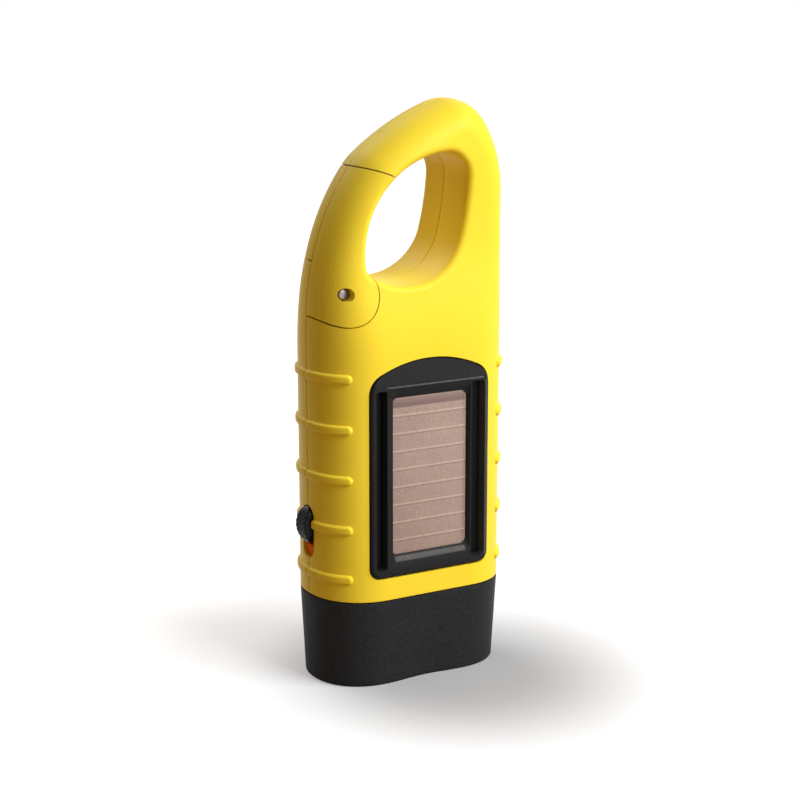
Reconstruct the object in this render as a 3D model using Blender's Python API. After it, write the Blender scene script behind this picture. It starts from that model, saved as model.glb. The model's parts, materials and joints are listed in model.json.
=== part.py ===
"""Hand crank flashlight: a two-part case with a carabiner loop and a sprung gate, a solar panel, a slide
switch, a lamp head that it stands on, and a folding crank on the back that drives a generator.

Metres, +Z up. X runs across the flashlight, the solar panel faces -Y and the crank is on the +Y side.
The case is worked out round its own middle plane, and one empty then sets it over the origin."""

import math

import bpy
import bmesh
from mathutils import Matrix, Vector

# Fits
GAP = 0.0003                 # between pieces that touch
RUN_FIT = 0.0003             # round a shaft or pin that turns
OVERRUN = 0.001              # how far a cutter passes the face it cuts
WELD = 0.00001               # points this close are one

# Case, seen from the front
TOTAL_HEIGHT = 0.1348
HEAD_HEIGHT = 0.02107
BODY_WIDTH = 0.0493          # at the loop
JOINT_WIDTH = 0.0490         # where the body meets the head
LEAN_HEIGHT = 0.0810         # where the gate side starts to lean in
ARCH_SHARES = (              # radius as a share of the width, and degrees turned
    (2.20, 4.4), (0.97, 38.1), (0.32, 12.8), (1.50, 17.8), (0.22, 68.3), (0.50, 38.6))
OPENING_SHARES = (           # radius as a share of the opening's width, and degrees turned
    (0.837, 88.90), (0.210, 97.99), (2.212, 12.43), (0.490, 62.33), (0.733, 39.07), (0.108, 59.28))
OPENING_LEAN = 93.04         # degrees, the heading of the opening's outline at its lower left
OPENING_FLOOR = 0.0934
FOOT_SHARE = 0.89            # where the seam of the outline meets the opening, round its edge
GATE_LIMB = 0.0098
SPINE_LIMB = 0.01245
CROWN_LIMB = 0.0116

# Case, from front to back
BODY_DEPTH = 0.0285
LOOP_FRONT = 0.0112          # from the parting plane to the front of the loop
LOOP_BACK = 0.0096
BODY_EDGE = 0.0132           # how far in the round sides reach
LOOP_EDGE = 0.0076
EDGE_FULLNESS_SHARE = 2.2    # power of the round sides' curve, 2 is an ellipse, more is fuller
THINNING_START = 0.077
THINNING_END = 0.104
FRONT_FILLET = 0.0015
BACK_FILLET = 0.0020
CASE_WALL = 0.0020
CAVITY_TOP = 0.0874
NECK_WALL = 0.0039
NECK_DEPTH = 0.0043          # how far the neck goes into the head

# Head
HEAD_FOOT_WIDTH = 0.0474
HEAD_FOOT_DEPTH = 0.0255
HEAD_WALL = 0.0020
HEAD_ROUND = 0.0005
WAIST_DEPTH = 0.0008
WAIST_REACH = 0.0105
LENS_RECESS = 0.0010
LENS_THICKNESS = 0.0016
LENS_LEDGE = 0.0010
LEDGE_WIDTH = 0.0015
CUP_COUNT = 3
CUP_SPACING = 0.0134
CUP_RADIUS = 0.0060
CUP_THROAT = 0.0029
CUP_STEPS = 4
REFLECTOR_HEIGHT = 0.0096
LED_RADIUS = 0.0025
LED_BASE = 0.0008
LED_RIM = 0.0004
LED_DOME_END = 75.0          # degrees up the dome where its flat tip starts
LED_HEIGHT = 0.0052
BOARD_THICKNESS = 0.0012

# Grip ribs
RIB_COUNT = 5
RIB_FIRST = 0.0265
RIB_PITCH = 0.01175
RIB_WIDTH = 0.0021
RIB_PROUD = 0.0007
RIB_SINK = 0.0006
RIB_FRONT = 0.0192           # how far from the middle the ribs' ends are
RIB_END_WIDTH_SHARE = 0.55
RIB_END_PROUD_SHARE = 0.2

# Switch on the left side
SLOT_BOTTOM = 0.0297
SLOT_LENGTH = 0.0127
SLOT_WIDTH = 0.0055
SLOT_OFFSET = 0.00045
SLIDER_LENGTH = 0.0088
SLIDER_PROUD = 0.0021
SLIDER_THICKNESS = 0.0006
SLIDER_RIDGES = 6
RIDGE_DEPTH = 0.00025
SLIDER_SWELL_SHARE = 0.8     # power of the sine that shapes it, less is fuller
STEM_LENGTH = 0.0030
STEM_WIDTH = 0.0016
STEM_REACH = 0.0036
STEM_SINK = 0.0003
MARK_THICKNESS = 0.0017
SWITCH_DEPTH = 0.0040
SWITCH_WIDTH = 0.0064
SWITCH_HEIGHT = 0.0150

# Solar panel
BEZEL_WIDTH = 0.0315
BEZEL_BOTTOM = 0.0266
BEZEL_SHOULDER = 0.0725
BEZEL_APEX = 0.0770
BEZEL_CORNER = 0.0025
BEZEL_TURN = 0.0050          # radius where its sides turn into the arch
BEZEL_PROUD = 0.0003
BEZEL_THICKNESS = 0.0030
BEZEL_EDGE = 0.0007
BROW_HEIGHT = 0.0712         # the ridge above the cell, where the frame starts to fall away
BROW_SLOPE = 0.16            # how far back it falls for each unit of height
BEZEL_RIM = 0.0011
CHANNEL_WIDTH = 0.0029
CHANNEL_DEPTH = 0.0011
CHANNEL_CORNER = 0.0007
CHANNEL_BOTTOM = 0.0284
CHANNEL_TOP = 0.0706
CELL_WIDTH = 0.0202
CELL_BOTTOM = 0.0316
CELL_TOP = 0.0686
CELL_CORNER = 0.0015
CELL_RECESS = 0.0009
CELL_LIP = 0.0008
WIRE_HOLE = 0.0016
TRAY_FLOOR = 0.0014
TRAY_MARGIN = 0.0013

# Gate
PIN_INSET = 0.00475
PIN_HEIGHT = 0.0926
PIN_RADIUS = 0.00135
PIN_RECESS = 0.0016
PIN_BACK = 0.0070
LOBE_RADIUS = 0.0072
EAR_RADIUS = 0.0069
EAR_GAP = 0.0006             # keeps the gate's back half off the ear's foot when it is open
GATE_REACH = 0.0283
GATE_SPAN = (35.0, 185.0)    # degrees round the pin that take in all of the gate above it
GATE_OPEN = 18.0             # degrees, until its root meets the opening's floor
PEG_RADIUS = 0.0008
PEG_DISTANCE = 0.0052
PEG_BEARING = 250.0          # degrees round the pin, from +X towards +Z
PEG_LENGTH = 0.0022
SPRING_TURNS = 3
SPRING_WIRE = 0.0006
SPRING_RADIUS = 0.0023
SPRING_POCKET = 0.0033
SPRING_START = 0.0007
SPRING_LENGTH = 0.0047
SPRING_LEG = 0.0022          # how far the spring's leg goes into the ear
SPRING_BEARING = 90.0

# Crank
CRANK_HEIGHT = 0.0620
SHAFT_RADIUS = 0.0022
BUSH_WALL = 0.0012
BUSH_FLANGE = 0.0055
BUSH_FLANGE_THICKNESS = 0.0007
ARM_HUB_RADIUS = 0.0078
ARM_TIP_RADIUS = 0.0079
ARM_THICKNESS = 0.0058
ARM_REACH = 0.0330           # from the crank's axis to the knob's fold pin
ARM_EDGE = 0.0008
CRANK_SCREW_RADIUS = 0.0036
CRANK_SCREW_HEAD = 0.0012
CRANK_SCREW_LENGTH = 0.0050
SHAFT_FLAT = 0.0016          # from the crank's axis to the shaft's flat
KNOB_RADIUS = 0.0044
KNOB_LENGTH = 0.0170
KNOB_BASE = 0.0035           # from the fold pin to the knob's near end
KNOB_LIFT = 0.0036           # the knob's axis above the arm's inner face
KNOB_CLEARANCE = 0.0006
KNOB_SLOT_CORNER = 0.0022
KNOB_PROFILE_SHARES = (      # share of the length, share of the radius
    (0.0, 0.88), (0.05, 1.0), (0.5, 0.96), (0.95, 1.0), (1.0, 0.88))
KNOB_FLUTES = 8
FLUTE_DEPTH = 0.0005
KNUCKLE_RADIUS = 0.0027
KNUCKLE_WIDTH = 0.0094
KNUCKLE_NECK = 0.0034
FOLD_PIN_RADIUS = 0.0010
SPINDLE_RADIUS = 0.0011
SPINDLE_HEAD = 0.0020
SPINDLE_HEAD_THICKNESS = 0.0008

# Gear train
MODULE = 0.0007
CRANK_TEETH = 40
WHEEL_TEETH = (32, 28)
PINION_TEETH = 10
BACKLASH = 0.00016
ADDENDUM_SHARE = 0.90
DEDENDUM_SHARE = 1.15
PRESSURE_ANGLE = 20.0
GEAR_BEARINGS = (205.4, 121.6, 0.0)   # degrees clockwise from straight up, each axle seen from the last
DRIVE_FACE = 0.0025
WHEEL_FACE = 0.0020
HUB_GAP = 0.0015
DRIVE_GEAR_START = 0.0085    # depth of the crank gear's near face
AXLE_RADIUS = 0.0010
AXLE_SEAT = 0.0010           # how deep an axle sits in the back wall
PLATE_NEAR = -0.0010
PLATE_THICKNESS = 0.0015
PLATE_MARGIN = 0.0026
POST_RADIUS = 0.0022
POST_PLACES = ((-0.0125, 0.0310), (0.0155, 0.0540), (-0.0169, 0.0580))
PLATE_SCREW_RADIUS = 0.0008
PLATE_SCREW_HEAD = 0.0016
PLATE_SCREW_LENGTH = 0.0060
CAN_RADIUS = 0.0082
CAN_WALL = 0.0007
CAN_LENGTH = 0.0058
COIL_THICKNESS = 0.0018
ROTOR_RADIUS = 0.0048
ROTOR_LENGTH = 0.0040

# Boards, batteries and case screws
MAIN_BOARD_HEIGHT = 0.0380
MAIN_BOARD_WIDTH = 0.0260
MAIN_BOARD_BOTTOM = 0.0270
BATTERY_RADIUS = 0.00775
BATTERY_LENGTH = 0.0055
BATTERY_COUNT = 3
BATTERY_HEIGHT = 0.0776
HOLDER_WALL = 0.0011
HOLDER_OPEN = 70.0           # degrees either side of straight back that the holder leaves open
CASE_SCREW_PLACES = ((0.0160, 0.0255), (0.0165, 0.0795))
CASE_SCREW_RADIUS = 0.0011
CASE_SCREW_HEAD = 0.0022
CASE_SCREW_HEAD_THICKNESS = 0.0014
CASE_SCREW_RECESS = 0.0038
CASE_SCREW_GRIP = 0.0050
BOSS_RADIUS = 0.0028

# Facets
ARCH_STEP = 3.0              # degrees of an arc between points
LOOP_ROWS = 48
BODY_ROW_SHARES = (0.0, 0.4, 0.75, 0.85, 0.93)
EDGE_ANGLES = (0.0, 10.0, 22.0, 36.0, 52.0, 70.0)
FILLET_ANGLES = (35.0, 90.0)
OVAL_STEPS = 8
ROUND_SIDES = 20
SMALL_SIDES = 12
PIN_SIDES = 36
RIB_STATIONS = 8
LED_DOME_STEPS = 3
SLOT_END_STEPS = 5
CORNER_STEPS = 3
ARCH_TOP_STEPS = 10
GROOVE_STEPS = 6
EDGE_REACH_SHARE = 0.9       # most of a row that the round edge may take up
SPRING_STEPS = 10
FLAT_ANGLE = 0.6             # degrees between faces that count as level

# Worked out from the sizes above
BODY_HALF = BODY_WIDTH / 2
JOINT_HALF = JOINT_WIDTH / 2
HALF_DEPTH = BODY_DEPTH / 2
PIN_PLACE = (-BODY_HALF + PIN_INSET, PIN_HEIGHT)
ARM_NEAR = HALF_DEPTH + BUSH_FLANGE_THICKNESS + 2 * GAP
ARM_FAR = ARM_NEAR + ARM_THICKNESS
KNOB_AXIS = ARM_NEAR + KNOB_LIFT
FOLD_HEIGHT = CRANK_HEIGHT - ARM_REACH
FRONT_REACH = HALF_DEPTH + BEZEL_PROUD
BACK_REACH = KNOB_AXIS + KNOB_RADIUS
LEFT_REACH = BODY_HALF + SLIDER_PROUD
RIGHT_REACH = BODY_HALF + RIB_PROUD
PLATE_FAR = PLATE_NEAR + PLATE_THICKNESS
CAVITY_FLOOR = HEAD_HEIGHT + CASE_WALL
SLOT_TOP = SLOT_BOTTOM + SLOT_LENGTH
SLOT_MIDDLE = (SLOT_OFFSET, SLOT_BOTTOM + SLOT_LENGTH / 2)
SLIDER_CREST = SLIDER_PROUD - (JOINT_WIDTH - BODY_WIDTH) / 2
SWITCH_TRAVEL = SLOT_LENGTH - SLIDER_LENGTH - 2 * GAP
CRANK_PLACE = (0.0, CRANK_HEIGHT)
BUSH_RADIUS = SHAFT_RADIUS + RUN_FIT + BUSH_WALL
AXLE_FAR = HALF_DEPTH - CASE_WALL + AXLE_SEAT


def around(place, radius, bearing):
    """A place in X and Z at a distance from another, the bearing in degrees from +X towards +Z."""
    angle = math.radians(bearing)
    return (place[0] + radius * math.cos(angle), place[1] + radius * math.sin(angle))


PEG_PLACE = around(PIN_PLACE, PEG_DISTANCE, PEG_BEARING)
SPRING_LEG_PLACE = around(PIN_PLACE, SPRING_RADIUS, SPRING_BEARING)
DRIVING_TEETH = (CRANK_TEETH, *WHEEL_TEETH)
GEAR_PLACES = []
for gear_teeth, gear_bearing in zip(DRIVING_TEETH, GEAR_BEARINGS):
    gear_before = GEAR_PLACES[-1] if GEAR_PLACES else CRANK_PLACE
    gear_reach = MODULE * (gear_teeth + PINION_TEETH) / 2
    GEAR_PLACES.append(around(gear_before, gear_reach, 90 - gear_bearing))
AXLE_PLACES = GEAR_PLACES[:-1]

for old_object in list(bpy.data.objects):
    bpy.data.objects.remove(old_object)
FRAME = bpy.data.objects.new("flashlight_frame", None)
bpy.context.scene.collection.objects.link(FRAME)
MATERIALS = {}


def material(name, colour, roughness, metallic=0.0, alpha=1.0):
    """A plain Principled finish."""
    made = bpy.data.materials.new(name)
    made.use_nodes = True
    shader = made.node_tree.nodes["Principled BSDF"]
    shader.inputs["Base Color"].default_value = (*colour, 1.0)
    shader.inputs["Roughness"].default_value = roughness
    shader.inputs["Metallic"].default_value = metallic
    shader.inputs["Alpha"].default_value = alpha
    MATERIALS[name] = made


def make_materials():
    material("yellow_plastic", (0.93, 0.70, 0.03), 0.32)
    material("black_plastic", (0.03, 0.03, 0.03), 0.50)
    material("grey_plastic", (0.25, 0.25, 0.26), 0.50)
    material("white_plastic", (0.80, 0.80, 0.78), 0.45)
    material("red_plastic", (0.65, 0.09, 0.03), 0.45)
    material("solar_film", (0.42, 0.28, 0.23), 0.25)
    material("clear_plastic", (0.90, 0.92, 0.93), 0.08, alpha=0.35)
    material("bright_film", (0.85, 0.85, 0.86), 0.10, metallic=1.0)
    material("steel", (0.60, 0.60, 0.62), 0.25, metallic=1.0)
    material("brass", (0.70, 0.50, 0.20), 0.30, metallic=1.0)
    material("copper", (0.72, 0.36, 0.18), 0.35, metallic=1.0)
    material("green_board", (0.03, 0.22, 0.08), 0.40)


# Outlines

def arc_chain(start, heading, arcs, step=ARCH_STEP):
    """Points along arcs that each turn clockwise, from (radius, degrees turned) pairs."""
    points = [Vector(start)]
    heading = math.radians(heading)
    for radius, turned in arcs:
        turn = math.radians(turned)
        centre = points[-1] + radius * Vector((math.sin(heading), -math.cos(heading)))
        count = max(1, round(turned / step))
        for index in range(1, count + 1):
            angle = heading - turn * index / count
            points.append(centre + radius * Vector((-math.sin(angle), math.cos(angle))))
        heading -= turn
    return points


def arc_points(centre, radius, start, end, count):
    """Points on an arc between two angles in degrees, both ends included."""
    angles = [math.radians(start + (end - start) * index / count) for index in range(count + 1)]
    return [Vector((centre[0] + radius * math.cos(a), centre[1] + radius * math.sin(a))) for a in angles]


def circle(centre, radius, count=ROUND_SIDES):
    return arc_points(centre, radius, 0, 360, count)[:-1]


def rectangle(low, high):
    return [Vector(low), Vector((high[0], low[1])), Vector(high), Vector((low[0], high[1]))]


def rounded_rectangle(low, high, corner, count=CORNER_STEPS):
    """Corner by corner, from the lower right round to the lower left."""
    points = []
    places = ((high[0] - corner, low[1] + corner, -90), (high[0] - corner, high[1] - corner, 0),
              (low[0] + corner, high[1] - corner, 90), (low[0] + corner, low[1] + corner, 180))
    for x, z, start in places:
        points += arc_points((x, z), corner, start, start + 90, count)
    return points


def hull(discs, count=ROUND_SIDES):
    """The outline of a cord pulled tight round discs given as (x, z, radius)."""
    points = sorted({tuple(p) for x, z, radius in discs for p in circle((x, z), radius, count)})

    def half(ordered):
        kept = []
        for point in ordered:
            while len(kept) > 1 and turns_right(kept[-2], kept[-1], point):
                kept.pop()
            kept.append(point)
        return kept[:-1]

    return [Vector(p) for p in half(points) + half(points[::-1])]


def turns_right(a, b, c):
    return (b[0] - a[0]) * (c[1] - a[1]) - (b[1] - a[1]) * (c[0] - a[0]) <= 0


def arch_outline():
    """The body's outer edge, from the joint on the left, over the loop, to the joint on the right."""
    raw = arc_chain((0, 0), 90, ARCH_SHARES)
    width = raw[-1][0]
    height = max(p[1] for p in raw)
    scale_x = BODY_WIDTH / width
    scale_z = (TOTAL_HEIGHT - LEAN_HEIGHT) / height
    arch = [Vector((p[0] * scale_x - BODY_HALF, LEAN_HEIGHT + p[1] * scale_z)) for p in raw]
    return [Vector((-JOINT_HALF, HEAD_HEIGHT)), *arch, Vector((BODY_HALF, LEAN_HEIGHT)),
            Vector((JOINT_HALF, HEAD_HEIGHT))]


def opening_outline():
    """The loop's opening, clockwise from its lower left, with the small closing error spread evenly."""
    raw = arc_chain((0, 0), OPENING_LEAN, OPENING_SHARES)
    error = raw[-1] - raw[0]
    raw = [p - error * index / (len(raw) - 1) for index, p in enumerate(raw)][:-1]
    low = Vector((min(p[0] for p in raw), min(p[1] for p in raw)))
    high = Vector((max(p[0] for p in raw), max(p[1] for p in raw)))
    left = -BODY_HALF + GATE_LIMB
    right = BODY_HALF - SPINE_LIMB
    top = TOTAL_HEIGHT - CROWN_LIMB
    scale_x = (right - left) / (high[0] - low[0])
    scale_z = (top - OPENING_FLOOR) / (high[1] - low[1])
    return [Vector((left + (p[0] - low[0]) * scale_x, OPENING_FLOOR + (p[1] - low[1]) * scale_z)) for p in raw]


def along(points, count, closed=False):
    """Evenly spaced points, count steps of them, along a run of straight pieces."""
    run = points + [points[0]] if closed else points
    marks = [0.0]
    for a, b in zip(run, run[1:]):
        marks.append(marks[-1] + (b - a).length)
    placed = []
    piece = 0
    for index in range(count + 1):
        wanted = marks[-1] * index / count
        while piece < len(run) - 2 and marks[piece + 1] < wanted:
            piece += 1
        share = (wanted - marks[piece]) / (marks[piece + 1] - marks[piece])
        placed.append(run[piece].lerp(run[piece + 1], min(share, 1.0)))
    return placed


def inset_from(points, place):
    """Distance from a place to a run of straight pieces."""
    nearest = None
    for a, b in zip(points, points[1:]):
        along_piece = b - a
        share = max(0.0, min(1.0, (place - a).dot(along_piece) / along_piece.length_squared))
        distance = (a + along_piece * share - place).length
        nearest = distance if nearest is None else min(nearest, distance)
    return nearest


def smooth(share):
    share = max(0.0, min(1.0, share))
    return share * share * (3 - 2 * share)


def thinning(z):
    return smooth((z - THINNING_START) / (THINNING_END - THINNING_START))


def half_depth(z, side):
    """From the parting plane to the flat of the front (side -1) or back (side 1) at a height."""
    loop = LOOP_FRONT if side < 0 else LOOP_BACK
    return HALF_DEPTH + (loop - HALF_DEPTH) * thinning(z)


def edge_run(z):
    return BODY_EDGE + (LOOP_EDGE - BODY_EDGE) * thinning(z)


def surface_depth(inset, z, side):
    """How far the case stands from the parting plane, a quarter of a full ellipse near its edge."""
    share = min(1.0, inset / edge_run(z))
    return half_depth(z, side) * (1 - (1 - share) ** EDGE_FULLNESS_SHARE) ** (1 / EDGE_FULLNESS_SHARE)


def full_turn(angle):
    """The unit full ellipse: how far along its two axes its edge is, at an angle within 90 degrees."""
    power = 2 / EDGE_FULLNESS_SHARE
    rise = math.sin(angle)
    return max(0.0, math.cos(angle)) ** power, math.copysign(abs(rise) ** power, rise)


def side_half(z):
    """Half the body's width at a height below the loop."""
    share = (z - HEAD_HEIGHT) / (LEAN_HEIGHT - HEAD_HEIGHT)
    return JOINT_HALF + (BODY_HALF - JOINT_HALF) * max(0.0, min(1.0, share))


def head_half(z):
    share = z / HEAD_HEIGHT
    return HEAD_FOOT_WIDTH / 2 + (JOINT_HALF - HEAD_FOOT_WIDTH / 2) * share


def head_half_depth(z):
    share = z / HEAD_HEIGHT
    return HEAD_FOOT_DEPTH / 2 + (HALF_DEPTH - HEAD_FOOT_DEPTH / 2) * share


def oval(width, depth, edge, z, waist=0.0, steps=OVAL_STEPS):
    """A level ring with flat faces and round ends, its faces drawn in by the waist at the middle."""
    ring = []
    flat = width - edge
    for sign in (1, -1):
        for index in range(steps + 1):
            out, rise = full_turn(math.pi * (index / steps - 0.5))
            ring.append(Vector((sign * (flat + edge * out), sign * depth * rise, z)))
        for index in range(1, steps):
            x = sign * flat * (1 - 2 * index / steps)
            pull = waist * (1 + math.cos(math.pi * min(1.0, abs(x) / WAIST_REACH))) / 2
            ring.append(Vector((x, sign * (depth - pull), z)))
    return ring


# Solids

def link(name, shape, finish="steel"):
    """Turns a bmesh into an object of its own under the flashlight's frame."""
    bmesh.ops.remove_doubles(shape, verts=shape.verts, dist=WELD)
    bmesh.ops.recalc_face_normals(shape, faces=shape.faces)
    mesh = bpy.data.meshes.new(name)
    shape.to_mesh(mesh)
    shape.free()
    made = bpy.data.objects.new(name, mesh)
    bpy.context.scene.collection.objects.link(made)
    made.parent = FRAME
    mesh.materials.append(MATERIALS[finish])
    return made


def add_rings(shape, rings, capped=True):
    """Skins a list of closed rings that have as many points each."""
    rows = [[shape.verts.new(p) for p in ring] for ring in rings]
    for below, above in zip(rows, rows[1:]):
        for index in range(len(below)):
            after = (index + 1) % len(below)
            shape.faces.new((below[index], below[after], above[after], above[index]))
    if capped:
        shape.faces.new(rows[0][::-1])
        shape.faces.new(rows[-1])
    return rows


def rings_solid(name, rings, finish="steel"):
    shape = bmesh.new()
    add_rings(shape, rings)
    return link(name, shape, finish)


def raised(outline, depth):
    """An outline in X and Z, placed at a depth along Y."""
    return [Vector((p[0], depth, p[1])) for p in outline]


def plate_solid(name, outline, near, far, finish="steel"):
    """An outline in X and Z given a thickness along Y."""
    return rings_solid(name, [raised(outline, near), raised(outline, far)], finish)


def side_solid(name, outline, left, right, finish="steel"):
    """An outline in Y and Z given a width along X."""
    rings = [[Vector((x, p[0], p[1])) for p in outline] for x in (left, right)]
    return rings_solid(name, rings, finish)


def turned(name, profile, place, axis, sides=ROUND_SIDES, finish="steel"):
    """Rings of (radius, distance along the axis) about a line through place."""
    axis = Vector(axis).normalized()
    across = axis.orthogonal().normalized()
    up = axis.cross(across)
    rings = []
    for radius, distance in profile:
        middle = Vector(place) + axis * distance
        angles = [2 * math.pi * index / sides for index in range(sides)]
        rings.append([middle + across * radius * math.cos(a) + up * radius * math.sin(a) for a in angles])
    return rings_solid(name, rings, finish)


def rod(name, radius, near, far, place, sides=ROUND_SIDES, finish="steel"):
    """A round bar along Y through a place in X and Z."""
    return turned(name, ((radius, near), (radius, far)), (place[0], 0, place[1]), (0, 1, 0), sides, finish)


def combine(target, tools, operation, solver="EXACT"):
    """One Boolean step with each tool, which is used up."""
    for tool in tools:
        modifier = target.modifiers.new("step", "BOOLEAN")
        modifier.operation = operation
        modifier.solver = solver
        modifier.object = tool
        graph = bpy.context.evaluated_depsgraph_get()
        result = bpy.data.meshes.new_from_object(target.evaluated_get(graph))
        target.modifiers.clear()
        target.data = result
        bpy.data.objects.remove(tool)
    return target


def cut(target, *tools):
    return combine(target, tools, "DIFFERENCE")


def cut_case(target, *tools):
    """The exact solver loses the ribbed case, which is closed, so its cuts use the other one."""
    return combine(target, tools, "DIFFERENCE", "MANIFOLD")


def fuse(target, *tools):
    return combine(target, tools, "UNION")


def common(target, *tools):
    return combine(target, tools, "INTERSECT")


def duplicate(source, name):
    copy = bpy.data.objects.new(name, source.data.copy())
    bpy.context.scene.collection.objects.link(copy)
    copy.parent = FRAME
    return copy


def merge_flat_faces(mesh):
    """Joins the level fragments that the Boolean steps leave, and drops points along straight edges."""
    shape = bmesh.new()
    shape.from_mesh(mesh)
    bmesh.ops.dissolve_limit(shape, angle_limit=math.radians(FLAT_ANGLE), verts=shape.verts, edges=shape.edges)
    bmesh.ops.triangulate(shape, faces=shape.faces)
    shape.to_mesh(mesh)
    shape.free()


def finish_piece(piece, pivot=(0, 0, 0), sharp=35.0):
    """Sets a piece's origin on its pivot and shades its round faces smooth."""
    merge_flat_faces(piece.data)
    piece.data.transform(Matrix.Translation(-Vector(pivot)))
    piece.location = pivot
    for polygon in piece.data.polygons:
        polygon.use_smooth = True
    piece.data.set_sharp_from_angle(angle=math.radians(sharp))
    return piece


# Case

def skin_rows():
    """Rows of points that cross each limb from the outer edge to the opening, or to the middle line
    below it. Each row is (outer point, inner point, direction from the opening, on the loop)."""
    outline = arch_outline()
    opening = opening_outline()
    ring = along(opening, LOOP_ROWS, closed=True)[:-1]
    foot = round(LOOP_ROWS * FOOT_SHARE)
    ring = [ring[(foot + index) % LOOP_ROWS] for index in range(LOOP_ROWS + 1)]
    outer = along(outline[1:-1], LOOP_ROWS)
    outer[0] = outline[1]
    middle = ring[0]
    rows = []
    for share in BODY_ROW_SHARES:
        z = HEAD_HEIGHT + share * (LEAN_HEIGHT - HEAD_HEIGHT)
        inner = Vector((middle[0] * share, HEAD_HEIGHT + share * (middle[1] - HEAD_HEIGHT)))
        rows.append((Vector((-side_half(z), z)), inner, None))
    left = list(rows)
    for index in range(LOOP_ROWS + 1):
        before = ring[(index - 1) % LOOP_ROWS]
        after = ring[(index + 1) % LOOP_ROWS]
        way = (after - before).normalized()
        rows.append((outer[index], ring[index], Vector((-way[1], way[0]))))
    for edge, inner, nothing in reversed(left):
        rows.append((Vector((-edge[0], edge[1])), inner, nothing))
    return outline, rows


def add_skin(shape, outline, rows, side, fillet):
    """One face of the case: each row runs in from the edge, then round the opening's fillet."""
    grid = []
    for edge, inner, away in rows:
        end = inner if away is None else inner + away * fillet
        length = (end - edge).length
        reach = min(EDGE_REACH_SHARE, edge_run(edge[1]) / length)
        shares = [(1 - math.cos(math.radians(angle))) * reach for angle in EDGE_ANGLES] + [reach, 1.0]
        line = []
        for share in shares:
            place = edge.lerp(end, share)
            depth = surface_depth(inset_from(outline, place), place[1], side)
            line.append(Vector((place[0], side * depth, place[1])))
        if away is not None:
            top = abs(line[-1][1])
            for angle in FILLET_ANGLES:
                turn = math.radians(angle)
                place = inner + away * fillet * (1 - math.sin(turn))
                line.append(Vector((place[0], side * (top - fillet * (1 - math.cos(turn))), place[1])))
        grid.append([shape.verts.new(p) for p in line])
    for first, second in zip(grid, grid[1:]):
        for index in range(min(len(first), len(second)) - 1):
            shape.faces.new((first[index], first[index + 1], second[index + 1], second[index]))
    return [line[-1] for line, row in zip(grid, rows) if row[2] is not None]


def case_blank(name):
    """The whole body as one solid, without its hollow."""
    outline, rows = skin_rows()
    shape = bmesh.new()
    front = add_skin(shape, outline, rows, -1, FRONT_FILLET)
    back = add_skin(shape, outline, rows, 1, BACK_FILLET)
    for index in range(len(front) - 1):
        shape.faces.new((front[index], front[index + 1], back[index + 1], back[index]))
    bmesh.ops.remove_doubles(shape, verts=shape.verts, dist=WELD)
    open_edges = [edge for edge in shape.edges if edge.is_boundary]
    bmesh.ops.holes_fill(shape, edges=open_edges)
    return link(name, shape, "yellow_plastic")


def body_ring(z, inset):
    return oval(side_half(z) - inset, half_depth(z, -1) - inset, edge_run(z) - inset, z)


def head_ring(z, inset, waisted=True):
    waist = WAIST_DEPTH * (1 - z / HEAD_HEIGHT) if waisted else 0.0
    half = head_half(z)
    return oval(half - inset, head_half_depth(z) - inset, BODY_EDGE - inset, z, waist)


def rib(level, sign):
    """A rounded bar that wraps one side of the body, from its front face to its back face."""
    half = side_half(level)
    reach = 1 - (half - RIB_FRONT) / BODY_EDGE
    end = math.degrees(math.acos(reach ** (EDGE_FULLNESS_SHARE / 2)))
    rings = []
    for index in range(RIB_STATIONS + 1):
        angle = math.radians(end * (2 * index / RIB_STATIONS - 1))
        out, rise = full_turn(angle)
        steep = EDGE_FULLNESS_SHARE - 1
        lean = math.copysign(abs(rise) ** steep, rise)
        outward = Vector((out ** steep * HALF_DEPTH, lean * BODY_EDGE, 0)).normalized()
        place = Vector((half - BODY_EDGE * (1 - out), HALF_DEPTH * rise, level))
        at_end = index in (0, RIB_STATIONS)
        width = RIB_WIDTH / 2 * (RIB_END_WIDTH_SHARE if at_end else 1)
        proud = RIB_PROUD * (RIB_END_PROUD_SHARE if at_end else 1)
        section = ((-RIB_SINK, -width), (0, -width), (proud, -width / 2), (proud, width / 2),
                   (0, width), (-RIB_SINK, width))
        ring = [place + outward * out + Vector((0, 0, rise)) for out, rise in section]
        rings.append([Vector((p[0] * sign, p[1], p[2])) for p in ring])
    return rings_solid("rib_tool", rings)


def stadium(middle, length, width, count=SLOT_END_STEPS):
    """A slot's outline along its second axis."""
    radius = width / 2
    run = length / 2 - radius
    upper = arc_points((middle[0], middle[1] + run), radius, 0, 180, count)
    lower = arc_points((middle[0], middle[1] - run), radius, 180, 360, count)
    return upper + lower


def bezel_outline(inset):
    """Straight sides and foot with round corners, under a shallow arch that its sides turn into."""
    half = BEZEL_WIDTH / 2 - inset
    corner = BEZEL_CORNER - inset / 2
    turn = BEZEL_TURN - inset / 2
    low = BEZEL_BOTTOM + inset
    rise = BEZEL_APEX - BEZEL_SHOULDER
    radius = (half * half + rise * rise) / (2 * rise)
    centre = BEZEL_APEX - inset - radius
    across = half - turn
    up = math.sqrt((radius - turn) ** 2 - across ** 2)
    start = math.degrees(math.atan2(up, across))
    points = arc_points((half - corner, low + corner), corner, -90, 0, CORNER_STEPS)
    points += arc_points((across, centre + up), turn, 0, start, CORNER_STEPS)[:-1]
    points += arc_points((0, centre), radius, start, 180 - start, ARCH_TOP_STEPS)
    points += arc_points((-across, centre + up), turn, 180 - start, 180, CORNER_STEPS)[1:]
    points += arc_points((-half + corner, low + corner), corner, 180, 270, CORNER_STEPS)
    return points


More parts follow.
